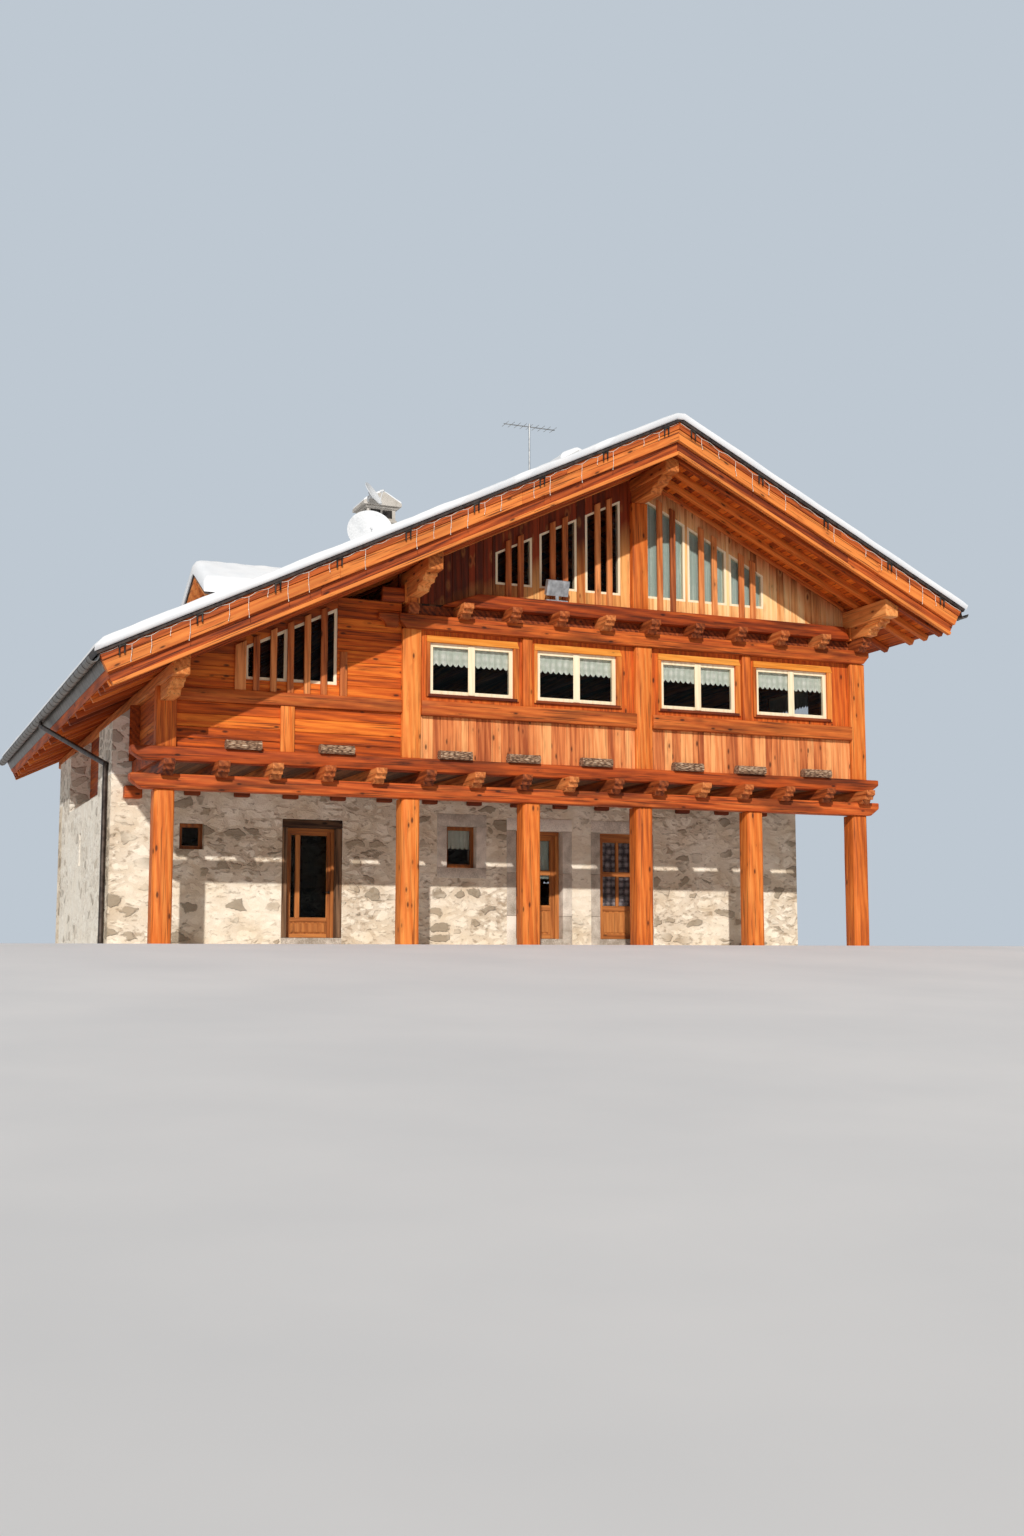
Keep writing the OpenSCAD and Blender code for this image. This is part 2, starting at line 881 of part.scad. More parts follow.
module window_slats() {
    color("chocolate")
        front_and_back() {
            along_y(wall_y - slat_t, wall_y) {
                for (i = [0 : slats_n - 1])
                    slat(slat_x0 + i * slat_pitch - slat_w / 2,
                        slat_x0 + i * slat_pitch + slat_w / 2, belt[1], slat_drop);
                slat(slat_window[0] - jamb_board, slat_window[0], belt[1], slat_drop);
                rect(slat_window[1] + short_board[0],
                    slat_window[1] + short_board[0] + short_board[1], belt[1], short_board[2]);
            }
            along_y(gable_y - slat_t, gable_y)
                for (w = gable_win, part = [1, 2])
                    slat(w[0] + (w[1] - w[0]) * part / 3 - slat_w / 2,
                        w[0] + (w[1] - w[0]) * part / 3 + slat_w / 2, gable_z, gable_drop);
        }
}

slat_drop = 60;
gable_drop = 200;

// Outer face of the west side wall, and width and thickness of the upright board at its end
side_x0 = -40;
end_board = [200, 30];

// Timber walls of the two sides
module side_walls() {
    color("peru") {
        front_and_back() {
            block(side_x0, side_x0 + timber_t, upper_post_t, stone_y0, rail_z, plate_z);
            block(side_x0 - end_board[0], side_x0, stone_y0 - end_board[1], stone_y0,
                rail_z, plate_z);
        }
        difference() {
            block(span, span + timber_t, upper_post_t, upper_depth - upper_post_t,
                deck_z + floor_t, under_z(span) - purlin_h);
            for (y = side_band_y)
                block(span, span + timber_t, y, y + band_w, band_sill, band_sill + band_h);
            block(span, span + joist_w / 2, 0, upper_depth, canopy_joist_z, cap_z);
        }
        block(-timber_t, 0, west_bay[0], west_bay[1], west_bay[3], plate_z);
    }
}

band_y = wall_y + 20;
band_t = 70;
casing_y = 55;
// Width of a casing's west, east, top and bottom boards
casing_w = [70, 110, 125, 60];

// Boards round the band windows, in front of the wall
module window_casings() {
    z1 = band_sill + band_h;
    color("peru")
        front_and_back()
            for (x = band_x)
                along_y(casing_y, wall_y)
                    difference() {
                        rect(x - casing_w[0], x + band_w + casing_w[1],
                            band_sill - casing_w[3], z1 + casing_w[2]);
                        rect(x, x + band_w, band_sill, z1);
                    }
}

// Clear width of one light of a double window
function light_w(w) = (w - 3 * sash_w) / 2;

module double_panes(x, z0, w, h) {
    for (side = [0, 1])
        translate([x + sash_w + side * (light_w(w) + sash_w), z0 + sash_w])
            square([light_w(w), h - 2 * sash_w]);
}

module double_window(x, z0, w, h) {
    difference() {
        rect(x, x + w, z0, z0 + h);
        double_panes(x, z0, w, h);
    }
}

module upper_windows() {
    color("cornsilk") {
        front_and_back()
            for (x = band_x)
                along_y(band_y, band_y + band_t)
                    double_window(x, band_sill, band_w, band_h);
        for (y = side_band_y)
            along_x(span + timber_t - band_t, span + timber_t)
                double_window(y, band_sill, band_w, band_h);
    }
}

module upper_glass() {
    inset = (band_t - glass_t) / 2;
    color("lightblue") {
        front_and_back() {
            for (x = band_x)
                along_y(band_y + inset, band_y + inset + glass_t)
                    double_panes(x, band_sill, band_w, band_h);
            along_y(wall_y + timber_t / 2, wall_y + timber_t / 2 + glass_t)
                west_window_outline();
            for (w = gable_win)
                along_y(gable_y + gable_glass_in, gable_y + gable_glass_in + glass_t)
                    gable_window_outline(w, gable_frame_w);
        }
        for (y = side_band_y)
            along_x(span + timber_t - band_t + inset, span + timber_t - band_t + inset + glass_t)
                double_panes(y, band_sill, band_w, band_h);
    }
}

/* Upper canopy */

canopy_past = 270;

module canopy_bottom_beam() {
    long_beam(post_x[1] - canopy_past, span + canopy_past, canopy_z, beam_h, canopy_past / 2);
}

// The bottom beam on the posts and the top beam on the joists
module canopy_beams() {
    color("chocolate")
        front_and_back() {
            canopy_bottom_beam();
            along_y(-beam_out, beam_w - beam_out)
                polygon([[cap_x0, cap_z], [cap_x1, cap_z], [cap_x1 - cap_slope_east, gable_z],
                    [cap_x0 + cap_slope_west, gable_z]]);
            inner_beam_ends();
        }
}

// How far the two inner beams reach past the second post, and the hollow under the lower one
inner_past = 660;
upper_inner_past = 590;
inner_hollow = 150;

// Ends of the two beams that run behind the canopy, on the wall west of the second post
module inner_beam_ends() {
    along_y(0, wall_y) {
        difference() {
            rect(post_x[1] - inner_past, post_x[1] - canopy_past, canopy_z, canopy_z + beam_h);
            translate([post_x[1] - inner_past, canopy_z])
                circle(r = inner_hollow);
        }
        rect(post_x[1] - upper_inner_past, post_x[1] - purlin_w / 2, cap_z, gable_z);
    }
}

infill_y = 160;

// Boards that close the gaps between the canopy joists
module canopy_infill() {
    color("sienna")
        front_and_back()
            for (i = [0 : canopy_joists_n - 2])
                block(post_x[1] + i * canopy_pitch + joist_w / 2,
                    post_x[1] + (i + 1) * canopy_pitch - joist_w / 2,
                    infill_y, beam_w - beam_out, canopy_joist_z, cap_z);
}

// Ends and end slopes of the top beam
cap_x0 = post_x[1] + 610;
cap_x1 = span - half_post;
cap_slope_west = 700;
cap_slope_east = 150;

/* Gable */

gable_t = 100;
gable_sill = gable_z + 300;
// Left and right edge of each gable window, west of the king post and east of it
gable_win = [[6320, 7090], [7250, 8050], [8240, 9010], [9590, 10480], [10540, 11440],
    [11510, 12310]];
// How far the window heads and the frames' inner edges stay under the rafters
gable_head = 330;

module gable_window_outline(w, inset) {
    slat(w[0] + inset, w[1] - inset, gable_sill + inset, gable_head + inset);
}

module gable_walls() {
    x0 = post_x[1] - half_post;
    x1 = span;
    color("peru")
        front_and_back()
            along_y(gable_y, gable_y + gable_t)
                difference() {
                    polygon([[x0, cap_z + floor_t], [x1, cap_z + floor_t], [x1, soffit_z(x1)],
                        [ridge_x, soffit_z(ridge_x)], [x0, soffit_z(x0)]]);
                    for (w = gable_win)
                        gable_window_outline(w, 0);
                    purlin_section(post_x[1]);
                    purlin_section(ridge_x);
                    purlin_section(span);
                }
}

gable_frame_w = 45;
gable_glass_in = 40;
rake_t = 45;
rake_h = 110;

module gable_windows() {
    color("cornsilk")
        front_and_back()
            for (w = gable_win)
                along_y(gable_y, gable_y + gable_t)
                    difference() {
                        gable_window_outline(w, 0);
                        gable_window_outline(w, gable_frame_w);
                    }
}

// Strip along the top of the gable wall, under the soffit
module rake_trim(x0, x1) {
    along_y(gable_y - rake_t, gable_y)
        polygon([[x0, soffit_z(x0)], [x1, soffit_z(x1)], [x1, soffit_z(x1) - rake_h],
            [x0, soffit_z(x0) - rake_h]]);
}

module rake_trims() {
    half = purlin_w / 2;
    color("peru")
        front_and_back() {
            rake_trim(post_x[1] + half, ridge_x - half);
            rake_trim(ridge_x + half, span - half);
        }
}

/* Roof frame */

// Upright section of a purlin, with its top planed to the slope
module purlin_section(x) {
    x0 = x - purlin_w / 2;
    x1 = x + purlin_w / 2;
    z0 = under_z(x) - purlin_h;
    polygon([[x0, z0], [x1, z0], [x1, under_z(x1)], [x, under_z(x)], [x0, under_z(x0)]]);
}

purlin_end = 1300;

module purlins() {
    color("chocolate")
        for (x = [0, post_x[1], ridge_x, span])
            along_y(-purlin_end, upper_depth + purlin_end)
                purlin_section(x);
}

corbel_w = 240;
corbel_out = 1050;
corbel_h = 260;
corbel_lip = 70;
corbel_curve = 150;
corbel_step = 380;

// A carved bracket under a purlin's end: an upright lip, a hollow, a step and a second hollow
module corbel(x, y1) {
    z1 = under_z(x) - purlin_h;
    z_lip = z1 - corbel_lip;
    z_low = z1 - corbel_h;
    y_step = -corbel_out + corbel_step;
    along_x(x - corbel_w / 2, x + corbel_w / 2)
        difference() {
            rect(-corbel_out, y1, z_low, z1);
            rect(-corbel_out - 1, -corbel_out + corbel_curve / 2, z_low - 1, z_lip);
            translate([-corbel_out + corbel_curve / 2, z_lip - corbel_curve / 2])
                circle(r = corbel_curve / 2);
            rect(-corbel_out - 1, y_step, z_low - 1, z_lip - corbel_curve / 2);
            translate([y_step, z_low])
                circle(r = corbel_curve / 2);
        }
}

module purlin_corbels() {
    color("chocolate")
        front_and_back() {
            corbel(ridge_x, gable_y);
            for (x = [0, post_x[1], span])
                corbel(x, 0);
        }
}

// Rafters outside each gable wall, and the first one inside it
outer_rafters = [-1200, -700, -200];
inner_rafter = 700;
inner_n = rafters_n - 2 * len(outer_rafters);
inner_step = (upper_depth - 2 * inner_rafter) / (inner_n - 1);
rafter_places = concat(outer_rafters,
    [for (i = [0 : inner_n - 1]) inner_rafter + i * inner_step],
    [for (y = outer_rafters) upper_depth - y]);

module rafter_row(x0, x1) {
    for (y = rafter_places)
        along_y(y - rafter_w / 2, y + rafter_w / 2)
            eave_strip(x0, x1, rafter_d, purlin_d);
}

module rafters() {
    color("chocolate") {
        rafter_row(eave_x0, ridge_x - ridge_joint);
        rafter_row(ridge_x + ridge_joint, eave_x1);
    }
}

verge_y0 = -verge_out;
verge_y1 = upper_depth + verge_out;
verge_boards_t = 150;

module deck_slope(x0, x1) {
    along_y(verge_y0 + verge_boards_t, verge_y1 - verge_boards_t)
        eave_strip(x0, x1, cover_t, rafter_d);
}

module roof_deck() {
    color("sandybrown") {
        deck_slope(eave_x0, ridge_x - ridge_joint);
        deck_slope(ridge_x + ridge_joint, eave_x1);
    }
}

cover_past = 40;

module cover_slope(x0, x1) {
    along_y(verge_y0 - cover_past, verge_y1 + cover_past)
        eave_strip(x0, x1, 0, cover_t - seat_gap);
}

module roof_cover() {
    color("dimgray") {
        cover_slope(eave_x0 - cover_past, ridge_x - ridge_joint);
        cover_slope(ridge_x + ridge_joint, eave_x1 + cover_past);
    }
}

ridge_cap_w = 180;
ridge_cap_t = 14;

// Folded cover along the ridge
module ridge_cap() {
    x0 = ridge_x - ridge_cap_w;
    x1 = ridge_x + ridge_cap_w;
    color("dimgray")
        along_y(verge_y0 - cover_past, verge_y1 + cover_past)
            polygon([[x0, roof_z(x0)], [ridge_x, ridge_z], [x1, roof_z(x1)],
                [x1, roof_z(x1) + ridge_cap_t], [ridge_x, ridge_z + ridge_cap_t],
                [x0, roof_z(x0) + ridge_cap_t]]);
}

// Stepped boards that close the verge: how far each step's face stands back, and its depth
// under the covering from top to bottom
verge_steps = [[0, cover_t, 270], [25, 270, 500], [100, 500, 690], [50, 690, purlin_d + 30]];

module verge_side(x0, x1) {
    for (step = verge_steps)
        along_y(verge_y0 + step[0], verge_y0 + verge_boards_t)
            eave_strip(x0, x1, step[1], step[2]);
}

module verge_boards() {
    color("chocolate")
        front_and_back() {
            verge_side(eave_x0, ridge_x - ridge_joint);
            verge_side(ridge_x + ridge_joint, eave_x1);
        }
}

gutter_t = 8;
gutter_drop = 160;
// How far the middle of the gutter stands out past the eave's top edge
gutter_off = gutter_r + 1 - square_cut * cover_t;
// The flange ends just under the covering
gutter_flange = gutter_drop - cover_t + pitch * (gutter_r - gutter_t - gutter_off) - seat_gap;

// A half round channel with a flange that hangs under the covering's edge
module gutter_profile() {
    difference() {
        circle(r = gutter_r);
        circle(r = gutter_r - gutter_t);
        rect(-gutter_r, gutter_r, 0, gutter_r);
    }
    rect(gutter_r - gutter_t, gutter_r, 0, gutter_flange);
}

module gutter_west() {
    along_y(verge_y0, verge_y1)
        translate([eave_x0 - gutter_off, roof_z(eave_x0) - gutter_drop])
            gutter_profile();
}

module gutter_east() {
    along_y(verge_y0, verge_y1)
        translate([eave_x1 + gutter_off, roof_z(eave_x1) - gutter_drop])
            mirror([1, 0])
                gutter_profile();
}

module gutters() {
    color("gray") {
        gutter_west();
        gutter_east();
    }
}

pipe_r = 50;
elbow_r = 57;
outlet_r = 38;
// Where the pipe leaves the gutter, where it meets the wall, and the height of its lower elbow
outlet_y = 5900;
pipe_y = 2900;
pipe_z = 3430;
outlet_drop = 90;

// The pipe from the west gutter forward to the stone wall and down its face, with round elbows
module downpipe() {
    x_wall = stone_x0 - elbow_r - seat_gap;
    x_out = eave_x0 - gutter_off;
    z_gutter = roof_z(eave_x0) - gutter_drop - gutter_r;
    z_out = z_gutter - outlet_drop;
    run = [x_wall - x_out, pipe_y - outlet_y, pipe_z - z_out];
    flat = sqrt(run[0] * run[0] + run[1] * run[1]);
    color("gray") {
        translate([x_wall, pipe_y, 0])
            cylinder(r = pipe_r, h = pipe_z);
        translate([x_wall, pipe_y, pipe_z])
            sphere(r = elbow_r);
        translate([x_out, outlet_y, z_out]) {
            sphere(r = elbow_r);
            rotate([0, atan2(flat, run[2]), atan2(run[1], run[0])])
                cylinder(r = pipe_r, h = norm(run));
            cylinder(r = outlet_r, h = outlet_drop);
        }
    }
}

/* Things on the roof */

chimney_w = 650;
chimney_at = [[5180, 5000], [9600, 4300]];
chimney_top = [ridge_z - 500, ridge_z + 750];
cap_over = 110;

// A stack that stands on the slope, under a small gabled slab cap
module chimney(x, y, z1) {
    along_y(y, y + chimney_w)
        polygon([[x, roof_z(x)], [x + chimney_w, roof_z(x + chimney_w)],
            [x + chimney_w, z1], [x, z1]]);
    along_y(y - cap_over, y + chimney_w + cap_over)
        polygon([[x - cap_over, z1], [x + chimney_w + cap_over, z1],
            [x + chimney_w + cap_over, z1 + 70], [x + chimney_w / 2, z1 + 320],
            [x - cap_over, z1 + 70]]);
}

module chimneys() {
    color("darkgray")
        for (i = [0, 1])
            chimney(chimney_at[i][0], chimney_at[i][1], chimney_top[i]);
}

dormer_x = 1500;
dormer_y = [3200, 4700];
dormer_wall_h = 700;
dormer_rise = 400;
// Far enough back for the dormer's ridge to meet the slope
dormer_len = (dormer_wall_h + dormer_rise) / pitch + 100;

module dormer() {
    mid = (dormer_y[0] + dormer_y[1]) / 2;
    z0 = roof_z(dormer_x);
    color("peru")
        difference() {
            along_x(dormer_x, dormer_x + dormer_len)
                polygon([[dormer_y[0], z0], [dormer_y[1], z0],
                    [dormer_y[1], z0 + dormer_wall_h], [mid, z0 + dormer_wall_h + dormer_rise],
                    [dormer_y[0], z0 + dormer_wall_h]]);
            along_y(dormer_y[0] - 1, dormer_y[1] + 1)
                slope_strip(dormer_x - 1, dormer_x + dormer_len + 1, 0, pitch * dormer_len + 1);
        }
}

dish_at = [4650, 3000];
dish_r = 360;
dish_lift = 760;
dish_t = 12;
dish_depth = 75;
dish_rings = 8;
arm_r = 18;
arm_len = 60;
mast_r = 22;

// Height of the dish's curve above its middle, at a part of its radius
function dish_rise(part) = dish_depth * part * part;

// A shallow dish on a short arm, held by a mast that stands on the slope
module satellite_dish() {
    x = dish_at[0];
    y = dish_at[1];
    color("white")
        difference() {
            union() {
                translate([x, y, roof_z(x) + dish_lift])
                    rotate([90, 0, 0]) {
                        rotate_extrude()
                            polygon(concat(
                                [for (i = [0 : dish_rings])
                                    [dish_r * i / dish_rings, dish_rise(i / dish_rings)]],
                                [for (i = [dish_rings : -1 : 0])
                                    [dish_r * i / dish_rings, dish_rise(i / dish_rings) - dish_t]]));
                        translate([0, 0, -arm_len])
                            cylinder(r = arm_r, h = arm_len - dish_t / 2);
                    }
                translate([x, y + arm_len, roof_z(x) - 200])
                    cylinder(r = mast_r, h = 200 + dish_lift + 60);
            }
            along_y(y - 200, y + 400)
                slope_strip(x - 200, x + 200, 0, 500);
        }
}

antenna_y = 5800;
antenna_h = 2100;
antenna_r = 20;
boom_r = 12;
boom_w = 1300;
rod_r = 6;
rods_n = 9;
rod_len = 420;

// Mast on the ridge with a boom and its rods
module antenna() {
    color("silver")
        translate([ridge_x, antenna_y, 0]) {
            translate([0, 0, ridge_z + ridge_cap_t])
                cylinder(r = antenna_r, h = antenna_h);
            translate([-boom_w / 2, 0, ridge_z + antenna_h - 60])
                rotate([0, 90, 0])
                    cylinder(r = boom_r, h = boom_w);
            for (i = [0 : rods_n - 1])
                translate([-boom_w / 2 + 40 + i * (boom_w - 80) / (rods_n - 1),
                    -rod_len / 2, ridge_z + antenna_h - 60])
                    rotate([-90, 0, 0])
                        cylinder(r = rod_r, h = rod_len, $fn = 16);
        }
}

// Hollowed half logs that stand on the front edge of the sill beam: left edge of each
planter_x = [1040, 2760, 5060, 6450, 7980, 9990, 11420, 12980];
planter_w = 640;
planter_r = 100;
planter_h = 160;
planter_wall = 25;

module log_planters() {
    color("saddlebrown")
        for (x = planter_x)
            difference() {
                along_x(x, x + planter_w)
                    translate([planter_y, rail_z])
                        intersection() {
                            translate([0, planter_r * 0.75])
                                circle(r = planter_r);
                            rect(-planter_r, planter_r, 0, planter_h);
                        }
                block(x + planter_wall, x + planter_w - planter_wall,
                    planter_y - planter_r * 0.6, planter_y + planter_r * 0.6,
                    rail_z + planter_h * 0.6, rail_z + planter_h + 1);
            }
}

planter_y = -beam_out - 10;

/* Floodlight */

flood_x = 7280;
flood_w = 460;
flood_h = 300;
flood_t = 110;
flood_tilt = 20;
flood_foot = 110;
foot_t = 30;

// A box on a short foot on the upper canopy, tilted down
module floodlight() {
    color("silver")
        translate([flood_x, 0, gable_z]) {
            cube([flood_w, flood_t, foot_t]);
            translate([flood_w / 2 - foot_t, 0, 0])
                cube([2 * foot_t, foot_t, flood_foot + foot_t]);
            translate([0, 0, flood_foot])
                rotate([flood_tilt, 0, 0])
                    cube([flood_w, flood_t, flood_h]);
        }
}

placed() ground_floor();
placed() front_wall_west();
placed() front_wall_middle();
placed() front_wall_centre();
placed() front_wall_east();
placed() front_wall_head();
placed() back_wall();
placed() west_wall();
placed() east_wall();
placed() stone_surrounds();
placed() door_sills();
placed() door_frames();
placed() hinge_pins();
placed() ground_windows();
placed() ground_glass();
placed() door_leaf_west();
placed() door_glass_west();
placed() door_fittings_west();
placed() door_leaf_middle();
placed() door_glass_middle();
placed() door_fittings_middle();
placed() door_leaf_east();
placed() door_glass_east();
placed() door_fittings_east();
placed() porch_posts();
placed() porch_beams();
placed() carved_joists();
placed() sill_beams();
placed() timber_floors();
placed() upper_posts();
placed() rail_beams();
placed() apron_boards();
placed() band_walls();
placed() west_gable_walls();
placed() side_walls();
placed() upper_windows();
placed() upper_glass();
placed() window_casings();
placed() window_slats();
placed() canopy_beams();
placed() canopy_infill();
placed() gable_walls();
placed() gable_windows();
placed() rake_trims();
placed() purlins();
placed() purlin_corbels();
placed() rafters();
placed() roof_deck();
placed() roof_cover();
placed() ridge_cap();
placed() verge_boards();
placed() gutters();
placed() downpipe();
placed() chimneys();
placed() dormer();
placed() satellite_dish();
placed() antenna();
placed() log_planters();
placed() floodlight();
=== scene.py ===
import math
import random

import bmesh
import bpy
from mathutils import Matrix, Vector, noise


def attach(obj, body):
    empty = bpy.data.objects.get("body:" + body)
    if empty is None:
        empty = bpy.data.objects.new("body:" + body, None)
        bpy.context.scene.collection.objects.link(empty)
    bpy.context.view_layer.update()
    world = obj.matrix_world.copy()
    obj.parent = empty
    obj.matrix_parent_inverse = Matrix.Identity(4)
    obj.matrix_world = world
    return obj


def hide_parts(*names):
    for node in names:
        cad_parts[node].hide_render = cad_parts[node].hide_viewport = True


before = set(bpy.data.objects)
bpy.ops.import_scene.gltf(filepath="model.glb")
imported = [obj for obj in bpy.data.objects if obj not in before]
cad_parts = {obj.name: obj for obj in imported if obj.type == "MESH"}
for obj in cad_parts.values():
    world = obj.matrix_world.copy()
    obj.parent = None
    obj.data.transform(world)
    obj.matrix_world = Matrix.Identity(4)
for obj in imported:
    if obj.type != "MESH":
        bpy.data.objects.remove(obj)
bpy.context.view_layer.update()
SEED = 11
random.seed(SEED)
noise.seed_set(SEED)

# Lengths below are in metres from the middle of the west corner post and the face of the porch
# posts, as in the part's source; PLAN moves them to the middle of the plan.
PLAN = Vector((-7.2, -6.35, 0.0))
DEPTH = 12.7
PITCH = 0.49
RIDGE = Vector((9.39, 0.0, 10.15))
# Depths of the soffit's and the rafters' undersides under the roof's top face
SOFFIT_D, RAFTER_D = 0.6, 0.73
# Values of back for what stands at the front gable and at the back one
ENDS = (False, True)


def roof_z(x):
    return RIDGE.z - PITCH * abs(x - RIDGE.x)


def show(name, data):
    """Puts a camera, lamp, mesh or curve in the scene."""
    obj = bpy.data.objects.new(name, data)
    bpy.context.scene.collection.objects.link(obj)
    return obj


# Camera
lens = bpy.data.cameras.new("camera")
lens.lens = 38.25
lens.sensor_width = 36.0
camera = show("camera", lens)
camera.location = (-12.4009, -34.8829, -0.2)
camera.rotation_euler = (math.radians(96.571), 0.0, math.radians(-22.397))
bpy.context.scene.camera = camera
bpy.context.scene.view_settings.view_transform = "Standard"


# Finishes
def screen(r, g, b, share=1.0):
    """A colour as a screen shows it, 0 to 255, as the shader takes it; a share darkens it."""
    steps = [int(c * share) / 255 for c in (r, g, b)]
    return (*[c / 12.92 if c <= 0.04045 else ((c + 0.055) / 1.055) ** 2.4 for c in steps], 1.0)


class Nodes:
    """A node tree whose nodes are added one by one; a socket given as a value is linked."""

    def __init__(self, tree):
        self.tree = tree

    def add(self, kind, inputs=None, **settings):
        node = self.tree.nodes.new("ShaderNode" + kind)
        for key, value in settings.items():
            setattr(node, key, value)
        for key, value in (inputs or {}).items():
            self.put(node.inputs[key], value)
        return node

    def put(self, socket, value):
        if isinstance(value, bpy.types.NodeSocket):
            self.tree.links.new(value, socket)
        else:
            socket.default_value = value

    def maths(self, operation, *values):
        return self.add("Math", dict(enumerate(values)), operation=operation).outputs[0]

    def times(self, a, b):
        return self.maths("MULTIPLY", a, b)

    def plus(self, a, b):
        return self.maths("ADD", a, b)

    def less(self, a, b):
        return self.maths("SUBTRACT", a, b)

    def total(self, *parts):
        """Sum of weight and value pairs."""
        out = None
        for weight, value in parts:
            term = self.times(value, weight)
            out = term if out is None else self.plus(out, term)
        return out


class Finish(Nodes):
    """A material in the making."""

    def __init__(self, name, roughness, metallic=0.0):
        self.material = bpy.data.materials.new(name)
        self.material.use_nodes = True
        super().__init__(self.material.node_tree)
        self.set("Roughness", roughness)
        self.set("Metallic", metallic)
        self.space = self.add("TexCoord").outputs["Object"]

    def set(self, name, value):
        self.put(self.tree.nodes["Principled BSDF"].inputs[name], value)

    def tone(self):
        return self.add("Attribute", attribute_name="tone").outputs["Fac"]

    def split(self, space):
        return self.add("SeparateXYZ", {0: space}).outputs

    def joined(self, x, y, z):
        return self.add("CombineXYZ", {0: x, 1: y, 2: z}).outputs[0]

    def moved(self, space, by):
        return self.add("VectorMath", {0: space, 1: by}, operation="ADD").outputs[0]

    def stretched(self, space, scale):
        scale = scale if isinstance(scale, tuple) else (scale,) * 3
        return self.add("Mapping", {"Vector": space, "Scale": scale}).outputs[0]

    def noise(self, space, scale, detail=3.0, distortion=0.0):
        return self.add("TexNoise", {
            "Vector": self.stretched(space, scale), "Scale": 1.0, "Detail": detail,
            "Distortion": distortion}).outputs["Fac"]

    def cells(self, space, scale, feature="F1", randomness=1.0):
        return self.add("TexVoronoi", {
            "Vector": self.stretched(space, scale), "Scale": 1.0, "Randomness": randomness},
            feature=feature).outputs

    def ramp(self, value, *stops):
        """Colours or greys at places from 0 to 1."""
        node = self.add("ValToRGB", {"Fac": value})
        points = node.color_ramp.elements
        while len(points) < len(stops):
            points.new(0.5)
        for point, (place, colour) in zip(points, stops):
            point.position = place
            point.color = colour if isinstance(colour, tuple) else (colour, colour, colour, 1.0)
        return node.outputs["Color"]

    def mix(self, fac, a, b):
        return self.add("Mix", {0: fac, 6: a, 7: b}, data_type="RGBA").outputs[2]

    def between(self, value, low, high, start=0.0, end=1.0):
        """Value from start to end taken to low to high."""
        return self.add("MapRange", {"Value": value, "From Min": start, "From Max": end,
                                               "To Min": low, "To Max": high}).outputs[0]

    def colour(self, socket):
        self.set("Base Color", socket)

    def shade(self, value, low, dark, high, light):
        """Colours the whole from dark at a low value to light at a high one."""
        self.colour(self.ramp(value, (low, screen(*dark)), (high, screen(*light))))

    def rough(self, value, low, high):
        self.set("Roughness", self.between(value, low, high))

    def bump(self, height, strength, distance):
        self.set("Normal", self.add("Bump", {
            "Height": height, "Strength": strength, "Distance": distance}).outputs[0])

    def under_roof(self):
        """Depth under the roof's top face."""
        x, _, z = self.split(self.space)
        off = self.maths("ABSOLUTE", self.less(x, RIDGE.x + PLAN.x))
        return self.less(self.less(RIDGE.z, z), self.times(off, PITCH))

    def grain_space(self, axis):
        """Space whose first axis runs along the grain: x, y, z or slope."""
        x, y, z = self.split(self.space)
        if axis == "slope":
            return self.joined(x, y, self.under_roof())
        return {"x": self.space, "y": self.joined(y, x, z),
                "z": self.joined(z, x, y)}[axis]


